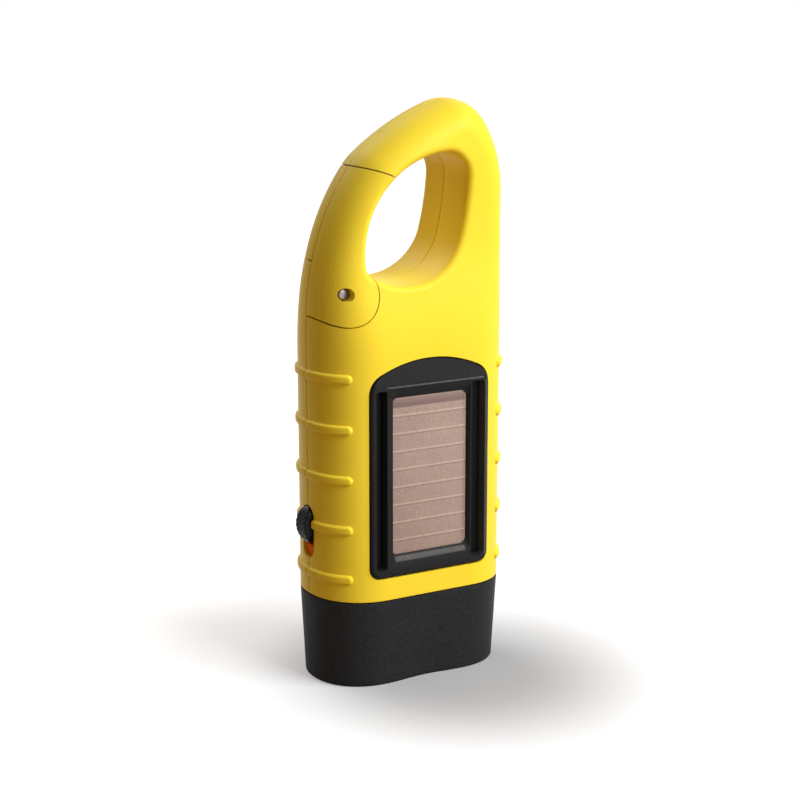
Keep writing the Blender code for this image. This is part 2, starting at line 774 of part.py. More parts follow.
def boss_tools():
    """What stays standing in the hollow: screw bosses, gear plate posts and the solar panel's tray."""
    far = HALF_DEPTH + OVERRUN
    tools = []
    for x, z in CASE_SCREW_PLACES:
        for sign in (1, -1):
            tools.append(rod("boss_tool", BOSS_RADIUS, -far, far, (sign * x, z), SMALL_SIDES))
    for place in POST_PLACES:
        tools.append(rod("post_tool", POST_RADIUS, PLATE_FAR + GAP, far, place, SMALL_SIDES))
    floor = -HALF_DEPTH + BEZEL_THICKNESS + GAP + TRAY_FLOOR
    tools.append(plate_solid("tray_tool", bezel_outline(-TRAY_MARGIN), -far, floor))
    return tools


def sector(reach, near, far):
    """The wedge about the gate's pin that takes in the whole gate, with an arc as its far edge."""
    outline = [Vector(PIN_PLACE)] + arc_points(PIN_PLACE, reach, GATE_SPAN[0], GATE_SPAN[1], PIN_SIDES)
    return plate_solid("sector_tool", outline, near, far, "yellow_plastic")


def pin_disc(radius, near, far):
    return rod("disc_tool", radius, near, far, PIN_PLACE, PIN_SIDES, "yellow_plastic")


def block(name, low, high, finish="steel"):
    outline = rectangle((low[0], low[2]), (high[0], high[2]))
    return plate_solid(name, outline, low[1], high[1], finish)


def beyond(side):
    """A block that takes away the other half of the case, on the given side of the parting plane."""
    near, far = sorted((-side * GAP / 2, side * BODY_DEPTH))
    return block("half_tool", (-BODY_WIDTH, near, -OVERRUN), (BODY_WIDTH, far, TOTAL_HEIGHT + OVERRUN))


def shell_holes(case, side):
    """Screw holes in the bosses, with a recess for each head in the back."""
    for x, z in CASE_SCREW_PLACES:
        for place in ((x, z), (-x, z)):
            low, high = (-CASE_SCREW_GRIP - GAP, OVERRUN) if side < 0 else (-OVERRUN, BODY_DEPTH)
            tools = [rod("screw_tool", CASE_SCREW_RADIUS + GAP, low, high, place, SMALL_SIDES)]
            if side > 0:
                seat = HALF_DEPTH - CASE_SCREW_RECESS
                tools.append(rod("seat_tool", CASE_SCREW_HEAD + GAP, seat, BODY_DEPTH, place, SMALL_SIDES))
            cut_case(case, *tools)


def make_case():
    """Both shells and both halves of the gate, all cut from one blank."""
    blank = case_blank("case_blank")
    gate_front = duplicate(blank, "gate_front")
    gate_back = duplicate(blank, "gate_back")
    neck_foot = HEAD_HEIGHT - NECK_DEPTH
    neck = rings_solid("neck_tool", [head_ring(neck_foot, HEAD_WALL + GAP, False),
                                     head_ring(HEAD_HEIGHT, HEAD_WALL + GAP, False),
                                     body_ring(HEAD_HEIGHT + CASE_WALL / 2, HEAD_WALL + GAP)])
    case = fuse(blank, neck)
    for index in range(RIB_COUNT):
        level = RIB_FIRST + RIB_PITCH * index
        fuse(case, rib(level, 1), rib(level, -1))
    throat = rings_solid("throat_tool", [body_ring(neck_foot - OVERRUN, NECK_WALL),
                                         body_ring(CAVITY_FLOOR + OVERRUN, NECK_WALL)])
    heights = (CAVITY_FLOOR, THINNING_START, (THINNING_START + CAVITY_TOP) / 2, CAVITY_TOP)
    hollow = rings_solid("hollow_tool", [body_ring(z, CASE_WALL) for z in heights])
    cut(hollow, *boss_tools())
    slot_outline = stadium(SLOT_MIDDLE, SLOT_LENGTH, SLOT_WIDTH)
    slot = side_solid("slot_tool", slot_outline, -JOINT_HALF - OVERRUN, -JOINT_HALF + CASE_WALL * 2)
    cut_case(case, hollow, throat, slot)
    front_shell = duplicate(case, "front_shell")
    back_shell = duplicate(case, "back_shell")
    bpy.data.objects.remove(case)
    make_front_shell(front_shell)
    make_back_shell(back_shell)
    make_gate(gate_front, gate_back)


def make_front_shell(shell):
    far = BODY_DEPTH
    pocket = plate_solid("pocket_tool", bezel_outline(-GAP), -far, -HALF_DEPTH + BEZEL_THICKNESS + GAP)
    wires = rod("wire_tool", WIRE_HOLE, -far, 0, (0, CELL_TOP), SMALL_SIDES)
    cut_case(shell, beyond(1), pocket, wires)
    cut_case(shell, sector(GATE_REACH + GAP, -far, far), pin_disc(LOBE_RADIUS + GAP, -far, far))
    shell_holes(shell, -1)
    finish_piece(shell)


def make_back_shell(shell):
    """Keeps a round ear for the gate's pin, with the peg that stops the gate."""
    far = BODY_DEPTH
    wedge = sector(GATE_REACH + GAP, -far, far)
    cut(wedge, pin_disc(EAR_RADIUS, -far - OVERRUN, far + OVERRUN))
    peg = rod("peg_tool", PEG_RADIUS, -PEG_LENGTH, PEG_LENGTH, PEG_PLACE, SMALL_SIDES)
    cut_case(shell, beyond(-1), wedge)
    combine(shell, (peg,), "UNION", "MANIFOLD")
    cut_case(shell, rod("pin_tool", PIN_RADIUS + GAP, -OVERRUN, PIN_BACK + GAP, PIN_PLACE, SMALL_SIDES))
    cut_case(shell, rod("leg_tool", SPRING_WIRE, -OVERRUN, SPRING_LEG + GAP, SPRING_LEG_PLACE, SMALL_SIDES))
    for place in AXLE_PLACES:
        cut_case(shell, rod("axle_tool", AXLE_RADIUS + GAP, 0, AXLE_FAR + GAP, place, SMALL_SIDES))
    for place in POST_PLACES:
        high = PLATE_NEAR + PLATE_SCREW_LENGTH + GAP
        cut_case(shell, rod("screw_tool", PLATE_SCREW_RADIUS + GAP, 0, high, place, SMALL_SIDES))
    cut_case(shell, rod("bush_tool", BUSH_RADIUS + GAP, 0, far, CRANK_PLACE))
    shell_holes(shell, 1)
    finish_piece(shell)


def make_gate(front, back):
    """The gate's front half has the round lobe on the pin, its back half ends over the ear."""
    far = BODY_DEPTH
    region = fuse(sector(GATE_REACH, -far, -GAP / 2), pin_disc(LOBE_RADIUS, -far, -GAP / 2))
    common(front, region)
    pocket = rod("pocket_tool", SPRING_POCKET, -SPRING_LENGTH, OVERRUN, PIN_PLACE)
    bore = rod("bore_tool", PIN_RADIUS + RUN_FIT, -far, OVERRUN, PIN_PLACE, SMALL_SIDES)
    turned_by = PEG_BEARING + GATE_OPEN
    low = PEG_DISTANCE - PEG_RADIUS - GAP
    high = PEG_DISTANCE + PEG_RADIUS + GAP
    margin = math.degrees((PEG_RADIUS + GAP) / PEG_DISTANCE)
    groove = arc_points(PIN_PLACE, high, PEG_BEARING - margin, turned_by + margin, GROOVE_STEPS)
    groove += arc_points(PIN_PLACE, low, turned_by + margin, PEG_BEARING - margin, GROOVE_STEPS)
    cut(front, pocket, bore, plate_solid("groove_tool", groove, -PEG_LENGTH - GAP, OVERRUN))
    wedge = sector(GATE_REACH, GAP / 2, far)
    cut(wedge, pin_disc(EAR_RADIUS + EAR_GAP, -OVERRUN, far + OVERRUN))
    common(back, wedge)
    pivot = (PIN_PLACE[0], 0, PIN_PLACE[1])
    for half in (front, back):
        finish_piece(half, pivot)


def make_gate_pin():
    front = surface_depth(PIN_INSET, PIN_HEIGHT, -1) - PIN_RECESS
    finish_piece(rod("gate_pin", PIN_RADIUS, -front, PIN_BACK, PIN_PLACE, SMALL_SIDES))
    points = [(SPRING_LEG_PLACE[0], SPRING_LEG, SPRING_LEG_PLACE[1])]
    steps = SPRING_TURNS * SPRING_STEPS
    for index in range(steps + 1):
        angle = math.radians(SPRING_BEARING) + 2 * math.pi * index / SPRING_STEPS
        depth = -SPRING_START - (SPRING_LENGTH - SPRING_START - SPRING_WIRE) * index / steps
        points.append((PIN_PLACE[0] + SPRING_RADIUS * math.cos(angle), depth,
                       PIN_PLACE[1] + SPRING_RADIUS * math.sin(angle)))
    finish_piece(wire("gate_spring", points, SPRING_WIRE / 2))


def wire(name, points, radius, finish="steel"):
    """A round wire through points, with closed ends."""
    curve = bpy.data.curves.new(name, "CURVE")
    curve.dimensions = "3D"
    curve.bevel_depth = radius
    curve.bevel_resolution = 1
    curve.use_fill_caps = True
    spline = curve.splines.new("POLY")
    spline.points.add(len(points) - 1)
    for slot, place in zip(spline.points, points):
        slot.co = (*place, 1)
    guide = bpy.data.objects.new(name + "_guide", curve)
    bpy.context.scene.collection.objects.link(guide)
    graph = bpy.context.evaluated_depsgraph_get()
    shape = bmesh.new()
    shape.from_mesh(bpy.data.meshes.new_from_object(guide.evaluated_get(graph)))
    bpy.data.objects.remove(guide)
    return link(name, shape, finish)


# Head

def make_head():
    seat = LENS_RECESS + LENS_THICKNESS + GAP
    ledge = seat + LENS_LEDGE
    top = HEAD_HEIGHT - GAP
    shell = rings_solid("head_shell", [head_ring(0, HEAD_ROUND), head_ring(HEAD_ROUND / 3, HEAD_ROUND / 3),
                                       head_ring(HEAD_ROUND, 0), head_ring(top / 2, 0), head_ring(top, 0)],
                        "black_plastic")
    narrow = HEAD_WALL + LEDGE_WIDTH
    steps = ((-OVERRUN, HEAD_WALL), (seat, HEAD_WALL), (seat, narrow), (ledge, narrow),
             (ledge, HEAD_WALL), (HEAD_HEIGHT + OVERRUN, HEAD_WALL))
    cut(shell, rings_solid("hollow_tool", [head_ring(z, inset) for z, inset in steps]))
    finish_piece(shell)
    inset = HEAD_WALL + GAP
    lens_top = LENS_RECESS + LENS_THICKNESS
    lens = rings_solid("lens", [head_ring(LENS_RECESS, inset), head_ring(lens_top, inset)], "clear_plastic")
    finish_piece(lens)
    foot = ledge + GAP
    rim = foot + REFLECTOR_HEIGHT
    reflector = rings_solid("reflector", [head_ring(foot, inset), head_ring(rim, inset)], "bright_film")
    for index in range(CUP_COUNT):
        x = CUP_SPACING * (index - (CUP_COUNT - 1) / 2)
        profile = []
        for step in range(CUP_STEPS + 1):
            share = step / CUP_STEPS
            radius = CUP_RADIUS + (CUP_THROAT - CUP_RADIUS) * share ** 2
            profile.append((radius, foot + REFLECTOR_HEIGHT * share))
        profile = [(CUP_RADIUS, foot - OVERRUN)] + profile + [(CUP_THROAT, rim + OVERRUN)]
        cut(reflector, turned("cup_tool", profile, (x, 0, 0), (0, 0, 1)))
        make_led(index, x, rim + GAP)
    finish_piece(reflector)
    low = rim + GAP + LED_BASE + GAP
    board = rings_solid("led_board", [head_ring(low, inset), head_ring(low + BOARD_THICKNESS, inset)],
                        "green_board")
    finish_piece(board)


def make_led(index, x, base):
    """A domed lamp that hangs through the throat of its cup."""
    rim = LED_RADIUS + LED_RIM
    profile = [(rim, base + LED_BASE), (rim, base), (LED_RADIUS, base)]
    for step in range(LED_DOME_STEPS + 1):
        angle = math.radians(LED_DOME_END * step / LED_DOME_STEPS)
        drop = LED_HEIGHT - LED_RADIUS + LED_RADIUS * math.sin(angle)
        profile.append((LED_RADIUS * math.cos(angle), base - drop))
    lamp = turned(f"led_{index + 1}", profile, (x, 0, 0), (0, 0, 1), SMALL_SIDES, "clear_plastic")
    finish_piece(lamp)


# Solar panel

def make_solar():
    back = -HALF_DEPTH + BEZEL_THICKNESS
    bezel = rings_solid("solar_bezel", [raised(bezel_outline(BEZEL_EDGE), -FRONT_REACH),
                                        raised(bezel_outline(0), -FRONT_REACH + BEZEL_EDGE),
                                        raised(bezel_outline(0), back)], "black_plastic")
    half = CELL_WIDTH / 2
    face = -FRONT_REACH + CELL_RECESS
    low = (-half - CELL_LIP, CELL_BOTTOM - CELL_LIP)
    high = (half + CELL_LIP, CELL_TOP + CELL_LIP)
    bed = plate_solid("bed_tool", rectangle(low, high), face, 0)
    window = rounded_rectangle((-half, CELL_BOTTOM), (half, CELL_TOP), CELL_CORNER)
    cut(bezel, bed, plate_solid("window_tool", window, -BODY_DEPTH, 0))
    outer = BEZEL_WIDTH / 2 - BEZEL_RIM
    for sign in (1, -1):
        left, right = sorted((sign * outer, sign * (outer - CHANNEL_WIDTH)))
        channel = rounded_rectangle((left, CHANNEL_BOTTOM), (right, CHANNEL_TOP), CHANNEL_CORNER)
        cut(bezel, plate_solid("channel_tool", channel, -BODY_DEPTH, -FRONT_REACH + CHANNEL_DEPTH))
    brow = ((-FRONT_REACH, BROW_HEIGHT), (-BODY_DEPTH, BROW_HEIGHT), (-BODY_DEPTH, TOTAL_HEIGHT),
            (-FRONT_REACH + BROW_SLOPE * (TOTAL_HEIGHT - BROW_HEIGHT), TOTAL_HEIGHT))
    cut(bezel, side_solid("brow_tool", [Vector(p) for p in brow], -BODY_WIDTH, BODY_WIDTH))
    finish_piece(bezel)
    cell = plate_solid("solar_cell", rectangle((low[0] + GAP, low[1] + GAP), (high[0] - GAP, high[1] - GAP)),
                       face + GAP, back, "solar_film")
    finish_piece(cell)


# Switch

def make_switch():
    width = SLOT_WIDTH - 2 * GAP
    top = SLOT_TOP - GAP
    low = top - SLIDER_LENGTH
    face = -JOINT_HALF
    base = face + SLIDER_THICKNESS
    outline = [Vector((base, low)), Vector((base, top))]
    for index in range(2 * SLIDER_RIDGES + 1):
        share = index / (2 * SLIDER_RIDGES)
        swell = math.sin(math.pi * share) ** SLIDER_SWELL_SHARE
        notch = RIDGE_DEPTH if index % 2 == 0 and 0 < share < 1 else 0
        outline.append(Vector((face - SLIDER_CREST * swell + notch, top - SLIDER_LENGTH * share)))
    slider = plate_solid("switch_slider", outline, SLOT_OFFSET - width / 2, SLOT_OFFSET + width / 2,
                         "black_plastic")
    shape = stadium((SLOT_OFFSET, top - SLIDER_LENGTH / 2), SLIDER_LENGTH, width)
    common(slider, side_solid("end_tool", shape, -BODY_WIDTH, 0))
    middle = top - SLIDER_LENGTH / 2
    stem_low = (base - STEM_SINK, SLOT_OFFSET - STEM_WIDTH / 2, middle - STEM_LENGTH / 2)
    stem_high = (base + STEM_REACH, SLOT_OFFSET + STEM_WIDTH / 2, middle + STEM_LENGTH / 2)
    fuse(slider, block("stem_tool", stem_low, stem_high))
    finish_piece(slider)
    way_low = (base - OVERRUN, stem_low[1] - GAP, stem_low[2] - SWITCH_TRAVEL - GAP)
    way_high = (stem_high[0] + GAP, stem_high[1] + GAP, stem_high[2] + GAP)
    near = base + GAP
    mark = side_solid("switch_mark", stadium(SLOT_MIDDLE, SLOT_LENGTH - 2 * GAP, width), near,
                      near + MARK_THICKNESS, "red_plastic")
    cut(mark, block("way_tool", way_low, way_high))
    finish_piece(mark)
    left = near + MARK_THICKNESS + GAP
    bottom = SLOT_MIDDLE[1] - SWITCH_HEIGHT / 2
    body = block("switch_body", (left, SLOT_OFFSET - SWITCH_WIDTH / 2, bottom),
                 (left + SWITCH_DEPTH, SLOT_OFFSET + SWITCH_WIDTH / 2, bottom + SWITCH_HEIGHT), "grey_plastic")
    cut(body, block("way_tool", way_low, way_high))
    finish_piece(body)


# Gear train

def gear_outline(centre, teeth, phase):
    """Straight-flanked teeth, the first one centred on the phase, in degrees."""
    pitch = MODULE * teeth / 2
    tip = pitch + ADDENDUM_SHARE * MODULE
    root = pitch - DEDENDUM_SHARE * MODULE
    half = math.pi / (2 * teeth) - BACKLASH / (2 * pitch)
    slope = math.tan(math.radians(PRESSURE_ANGLE))
    at_tip = half - slope * (tip - pitch) / pitch
    at_root = half + slope * (pitch - root) / pitch
    points = []
    for tooth in range(teeth):
        middle = math.radians(phase) + 2 * math.pi * tooth / teeth
        for radius, angle in ((root, -at_root), (tip, -at_tip), (tip, at_tip), (root, at_root)):
            turn = middle + angle
            points.append(Vector((centre[0] + radius * math.cos(turn), centre[1] + radius * math.sin(turn))))
    return points


def meshing_phase(phase, teeth, next_teeth, bearing):
    """Where a gear's first tooth stands so that it fits between the teeth of the one before."""
    lead = phase - bearing
    return bearing + 180 - lead * teeth / next_teeth + 180 / next_teeth


def make_gears():
    bearings = [90 - bearing for bearing in GEAR_BEARINGS]
    phase = 0.0
    teeth = CRANK_TEETH
    near = DRIVE_GEAR_START
    far = near + DRIVE_FACE
    drive = plate_solid("drive_gear", gear_outline(CRANK_PLACE, teeth, phase), near, far, "white_plastic")
    cut(drive, flatted_rod("bore_tool", SHAFT_RADIUS + GAP, SHAFT_FLAT + GAP, near - OVERRUN, far + OVERRUN))
    finish_piece(drive, (CRANK_PLACE[0], 0, CRANK_PLACE[1]))
    for index, wheel_teeth in enumerate(WHEEL_TEETH):
        place = GEAR_PLACES[index]
        phase = meshing_phase(phase, teeth, PINION_TEETH, bearings[index])
        wheel_far = near - HUB_GAP
        wheel_near = wheel_far - WHEEL_FACE
        wheel = plate_solid(f"compound_gear_{index + 1}", gear_outline(place, wheel_teeth, phase),
                            wheel_near, wheel_far, "white_plastic")
        pinion = plate_solid("pinion_tool", gear_outline(place, PINION_TEETH, phase),
                             wheel_far - WHEEL_FACE / 2, far)
        bore = rod("bore_tool", AXLE_RADIUS + RUN_FIT, wheel_near - OVERRUN, far + OVERRUN, place, SMALL_SIDES)
        cut(fuse(wheel, pinion), bore)
        finish_piece(wheel, (place[0], 0, place[1]))
        axle = rod(f"axle_{index + 1}", AXLE_RADIUS, PLATE_NEAR + GAP, AXLE_FAR, place, SMALL_SIDES)
        finish_piece(axle)
        near, far, teeth = wheel_near, wheel_far, wheel_teeth
    place = GEAR_PLACES[-1]
    phase = meshing_phase(phase, teeth, PINION_TEETH, bearings[-1])
    make_generator(place, phase, near, far)


def make_generator(place, phase, near, far):
    can_far = PLATE_NEAR - GAP
    can_near = can_far - CAN_LENGTH
    can = rod("generator_can", CAN_RADIUS, can_near, can_far, place, finish="steel")
    cut(can, rod("hollow_tool", CAN_RADIUS - CAN_WALL, can_near + CAN_WALL, can_far + OVERRUN, place))
    finish_piece(can)
    coil_near = can_near + CAN_WALL + GAP
    coil = rod("generator_coil", CAN_RADIUS - CAN_WALL - GAP, coil_near, coil_near + ROTOR_LENGTH, place,
               finish="copper")
    inner = CAN_RADIUS - CAN_WALL - GAP - COIL_THICKNESS
    cut(coil, rod("hollow_tool", inner, coil_near - OVERRUN, can_far, place))
    finish_piece(coil)
    pivot = (place[0], 0, place[1])
    magnet = rod("rotor_magnet", ROTOR_RADIUS, coil_near, coil_near + ROTOR_LENGTH, place)
    cut(magnet, rod("bore_tool", AXLE_RADIUS + GAP, coil_near - OVERRUN, can_far, place, SMALL_SIDES))
    finish_piece(magnet, pivot)
    pinion = plate_solid("rotor_pinion", gear_outline(place, PINION_TEETH, phase), near, far, "brass")
    fuse(pinion, rod("shaft_tool", AXLE_RADIUS, coil_near, far + AXLE_RADIUS, place, SMALL_SIDES))
    finish_piece(pinion, pivot)


def make_gear_plate():
    discs = [(x, z, PLATE_MARGIN) for x, z in (CRANK_PLACE, *GEAR_PLACES, *POST_PLACES)]
    plate = plate_solid("gear_plate", hull(discs, SMALL_SIDES), PLATE_NEAR, PLATE_FAR, "steel")
    low = PLATE_NEAR - OVERRUN
    high = PLATE_FAR + OVERRUN
    cut(plate, rod("hole_tool", SHAFT_RADIUS + RUN_FIT, low, high, CRANK_PLACE, SMALL_SIDES))
    for place in GEAR_PLACES:
        cut(plate, rod("hole_tool", AXLE_RADIUS + RUN_FIT, low, high, place, SMALL_SIDES))
    for index, place in enumerate(POST_PLACES):
        cut(plate, rod("hole_tool", PLATE_SCREW_RADIUS + GAP, low, high, place, SMALL_SIDES))
        make_screw(f"plate_screw_{index + 1}", place, PLATE_NEAR - GAP, -1, PLATE_SCREW_HEAD,
                   PLATE_SCREW_RADIUS, PLATE_SCREW_RADIUS, PLATE_SCREW_LENGTH)
    finish_piece(plate)


def make_screw(name, place, seat, side, head, thickness, radius, length):
    """A pan head on the given side of its seat, and a shank on the other."""
    profile = ((head - thickness / 3, thickness), (head, thickness / 2), (head, 0), (radius, 0),
               (radius, -length))
    screw = turned(name, profile, (place[0], seat, place[1]), (0, side, 0), SMALL_SIDES)
    finish_piece(screw)


# Crank

def flatted_rod(name, radius, flat, near, far):
    """A bar on the crank's axis with one flat, the given distance above its axis."""
    start = math.degrees(math.acos(flat / radius))
    outline = arc_points(CRANK_PLACE, radius, 90 + start, 450 - start, SMALL_SIDES)
    return plate_solid(name, outline, near, far)


def make_crank():
    pivot = (CRANK_PLACE[0], 0, CRANK_PLACE[1])
    seat = ARM_FAR - CRANK_SCREW_HEAD
    shaft_far = seat - GAP
    gear_far = DRIVE_GEAR_START + DRIVE_FACE
    shaft = rod("crank_shaft", SHAFT_RADIUS, PLATE_NEAR + GAP, shaft_far, CRANK_PLACE)
    for low, high in ((PLATE_FAR + GAP, gear_far), (ARM_NEAR, ARM_FAR)):
        cut(shaft, block("flat_tool", (-SHAFT_RADIUS, low, CRANK_HEIGHT + SHAFT_FLAT),
                         (SHAFT_RADIUS, high, CRANK_HEIGHT + SHAFT_RADIUS + OVERRUN)))
    cut(shaft, rod("hole_tool", CASE_SCREW_RADIUS + GAP, seat - CRANK_SCREW_LENGTH - GAP, ARM_FAR, CRANK_PLACE,
                   SMALL_SIDES))
    finish_piece(shaft, pivot)
    discs = ((0, CRANK_HEIGHT, ARM_HUB_RADIUS), (0, FOLD_HEIGHT, ARM_TIP_RADIUS))
    inner = [(x, z, radius - ARM_EDGE) for x, z, radius in discs]
    arm = rings_solid("crank_arm", [raised(hull(inner), ARM_NEAR), raised(hull(discs), ARM_NEAR + ARM_EDGE),
                                    raised(hull(discs), ARM_FAR - ARM_EDGE), raised(hull(inner), ARM_FAR)],
                      "black_plastic")
    low = ARM_NEAR - OVERRUN
    high = ARM_FAR + OVERRUN
    cut(arm, flatted_rod("bore_tool", SHAFT_RADIUS + GAP, SHAFT_FLAT + GAP, low, high))
    cut(arm, rod("seat_tool", CRANK_SCREW_RADIUS + GAP, seat - GAP, high, CRANK_PLACE))
    half = KNOB_RADIUS + KNOB_CLEARANCE
    slot = rounded_rectangle((-half, FOLD_HEIGHT - KNUCKLE_NECK - KNOB_CLEARANCE),
                             (half, FOLD_HEIGHT + KNOB_BASE + KNOB_LENGTH + KNOB_CLEARANCE), KNOB_SLOT_CORNER)
    cut(arm, plate_solid("slot_tool", slot, low, high))
    cut(arm, cross_rod("pin_tool", FOLD_PIN_RADIUS + GAP, ARM_TIP_RADIUS + OVERRUN))
    finish_piece(arm, pivot)
    make_screw("crank_screw", CRANK_PLACE, seat, 1, CRANK_SCREW_RADIUS, CRANK_SCREW_HEAD, CASE_SCREW_RADIUS,
               CRANK_SCREW_LENGTH)
    finish_piece(cross_rod("knob_pin", FOLD_PIN_RADIUS, ARM_TIP_RADIUS - GAP), pivot)
    flange = HALF_DEPTH + GAP
    profile = ((BUSH_RADIUS, gear_far + GAP), (BUSH_RADIUS, flange), (BUSH_FLANGE, flange),
               (BUSH_FLANGE, flange + BUSH_FLANGE_THICKNESS))
    bush = turned("crank_bush", profile, (CRANK_PLACE[0], 0, CRANK_PLACE[1]), (0, 1, 0), finish="brass")
    cut(bush, rod("bore_tool", SHAFT_RADIUS + RUN_FIT, 0, ARM_FAR, CRANK_PLACE))
    finish_piece(bush)


def cross_rod(name, radius, half_length):
    """A bar along X on the knob's fold axis."""
    profile = ((radius, -half_length), (radius, half_length))
    return turned(name, profile, (0, KNOB_AXIS, FOLD_HEIGHT), (1, 0, 0), SMALL_SIDES)


def make_knob():
    pivot = (0, KNOB_AXIS, FOLD_HEIGHT)
    up = (0, 0, 1)
    reach = KNOB_BASE - GAP
    knuckle = turned("knob_knuckle", ((KNUCKLE_RADIUS, -KNUCKLE_WIDTH / 2), (KNUCKLE_RADIUS, KNUCKLE_WIDTH / 2)),
                     pivot, (1, 0, 0), finish="steel")
    fuse(knuckle, turned("neck_tool", ((KNUCKLE_NECK, 0), (KNUCKLE_NECK, reach)), pivot, up))
    cut(knuckle, cross_rod("pin_tool", FOLD_PIN_RADIUS + RUN_FIT, KNUCKLE_WIDTH))
    spindle_foot = FOLD_PIN_RADIUS + 2 * GAP + RUN_FIT
    cut(knuckle, turned("hole_tool", ((SPINDLE_RADIUS + GAP, 0), (SPINDLE_RADIUS + GAP, KNOB_LENGTH)), pivot, up,
                        SMALL_SIDES))
    finish_piece(knuckle, pivot)
    end = KNOB_BASE + KNOB_LENGTH
    head_low = end - SPINDLE_HEAD_THICKNESS
    profile = ((SPINDLE_RADIUS, spindle_foot), (SPINDLE_RADIUS, head_low), (SPINDLE_HEAD, head_low),
               (SPINDLE_HEAD, end))
    finish_piece(turned("knob_spindle", profile, pivot, up, SMALL_SIDES), pivot)
    rings = []
    count = 4 * KNOB_FLUTES
    for length_share, radius_share in KNOB_PROFILE_SHARES:
        level = FOLD_HEIGHT + KNOB_BASE + KNOB_LENGTH * length_share
        ring = []
        for index in range(count):
            angle = 2 * math.pi * index / count
            dip = FLUTE_DEPTH * (1 - math.cos(angle * KNOB_FLUTES)) / 2
            radius = KNOB_RADIUS * radius_share - dip
            ring.append(Vector((radius * math.cos(angle), KNOB_AXIS + radius * math.sin(angle), level)))
        rings.append(ring)
    knob = rings_solid("crank_knob", rings, "black_plastic")
    bore = ((SPINDLE_RADIUS + RUN_FIT, 0), (SPINDLE_RADIUS + RUN_FIT, head_low - GAP),
            (SPINDLE_HEAD + RUN_FIT, head_low - GAP), (SPINDLE_HEAD + RUN_FIT, end + OVERRUN))
    cut(knob, turned("bore_tool", bore, pivot, up, SMALL_SIDES))
    finish_piece(knob, pivot)


# Boards, batteries and screws

def make_inside():
    back = -HALF_DEPTH + BEZEL_THICKNESS + GAP + TRAY_FLOOR + GAP
    half = MAIN_BOARD_WIDTH / 2
    board = block("main_board", (-half, back, MAIN_BOARD_BOTTOM),
                  (half, back + BOARD_THICKNESS, MAIN_BOARD_BOTTOM + MAIN_BOARD_HEIGHT), "green_board")
    finish_piece(board)
    pitch = BATTERY_LENGTH + GAP
    middle = (0, 0, BATTERY_HEIGHT)
    for index in range(BATTERY_COUNT):
        start = pitch * (index - BATTERY_COUNT / 2) + GAP / 2
        profile = ((BATTERY_RADIUS - CELL_LIP, start), (BATTERY_RADIUS, start + CELL_LIP),
                   (BATTERY_RADIUS, start + BATTERY_LENGTH))
        finish_piece(turned(f"battery_cell_{index + 1}", profile, middle, (1, 0, 0)))
    inner_half = pitch * BATTERY_COUNT / 2 + GAP
    outer_half = inner_half + HOLDER_WALL
    inner = BATTERY_RADIUS + GAP
    outer = inner + HOLDER_WALL
    holder = turned("battery_holder", ((outer, -outer_half), (outer, outer_half)), middle, (1, 0, 0),
                    finish="black_plastic")
    cut(holder, turned("cell_tool", ((inner, -inner_half), (inner, inner_half)), middle, (1, 0, 0)))
    edge = outer * math.cos(math.radians(HOLDER_OPEN))
    cut(holder, block("open_tool", (-BODY_WIDTH, edge, BATTERY_HEIGHT - outer - OVERRUN),
                      (BODY_WIDTH, BODY_DEPTH, BATTERY_HEIGHT + outer + OVERRUN)))
    finish_piece(holder)
    seat = HALF_DEPTH - CASE_SCREW_RECESS + GAP
    number = 0
    for x, z in CASE_SCREW_PLACES:
        for sign in (1, -1):
            number += 1
            make_screw(f"case_screw_{number}", (sign * x, z), seat, 1, CASE_SCREW_HEAD,
                       CASE_SCREW_HEAD_THICKNESS, CASE_SCREW_RADIUS, seat + CASE_SCREW_GRIP)


def main():
    make_materials()
    make_case()
    make_gate_pin()
    make_head()
    make_solar()
    make_switch()
    make_gears()
    make_gear_plate()
    make_crank()
    make_knob()
    make_inside()
    FRAME.location = ((LEFT_REACH - RIGHT_REACH) / 2, (FRONT_REACH - BACK_REACH) / 2, 0)


main()
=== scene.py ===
# %% [markdown]
# This is a hand crank flashlight: a yellow case with a carabiner loop, a black solar panel frame, a slide
# switch on its side and a black lamp head that it stands on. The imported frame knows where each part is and
# how it moves. Every surface here is worked out round the case's own middle and then set over the frame.
# %% The frame
import json
import bmesh
import bpy
import numpy as np
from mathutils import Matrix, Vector


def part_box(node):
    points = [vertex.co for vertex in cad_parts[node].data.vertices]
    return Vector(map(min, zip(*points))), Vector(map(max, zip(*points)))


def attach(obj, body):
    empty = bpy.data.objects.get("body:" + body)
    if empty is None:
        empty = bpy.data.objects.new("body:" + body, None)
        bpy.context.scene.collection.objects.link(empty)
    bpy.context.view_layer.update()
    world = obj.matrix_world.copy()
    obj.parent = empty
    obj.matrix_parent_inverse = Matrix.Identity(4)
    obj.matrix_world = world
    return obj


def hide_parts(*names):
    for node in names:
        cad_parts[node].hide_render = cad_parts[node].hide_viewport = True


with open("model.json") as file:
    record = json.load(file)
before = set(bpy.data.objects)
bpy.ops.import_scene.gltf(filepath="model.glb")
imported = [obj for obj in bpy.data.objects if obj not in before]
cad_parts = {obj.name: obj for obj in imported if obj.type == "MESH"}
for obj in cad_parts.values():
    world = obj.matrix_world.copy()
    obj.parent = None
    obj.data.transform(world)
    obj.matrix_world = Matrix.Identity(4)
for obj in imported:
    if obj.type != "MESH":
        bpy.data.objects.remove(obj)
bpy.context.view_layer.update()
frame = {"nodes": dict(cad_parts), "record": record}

MM = 0.001
HEAD_LOW, HEAD_HIGH = (np.array(corner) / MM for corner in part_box("head_shell"))
MIDDLE = (HEAD_LOW + HEAD_HIGH) / 2 * (1, 1, 0)
print("the case's middle, in millimetres:", MIDDLE.round(2))

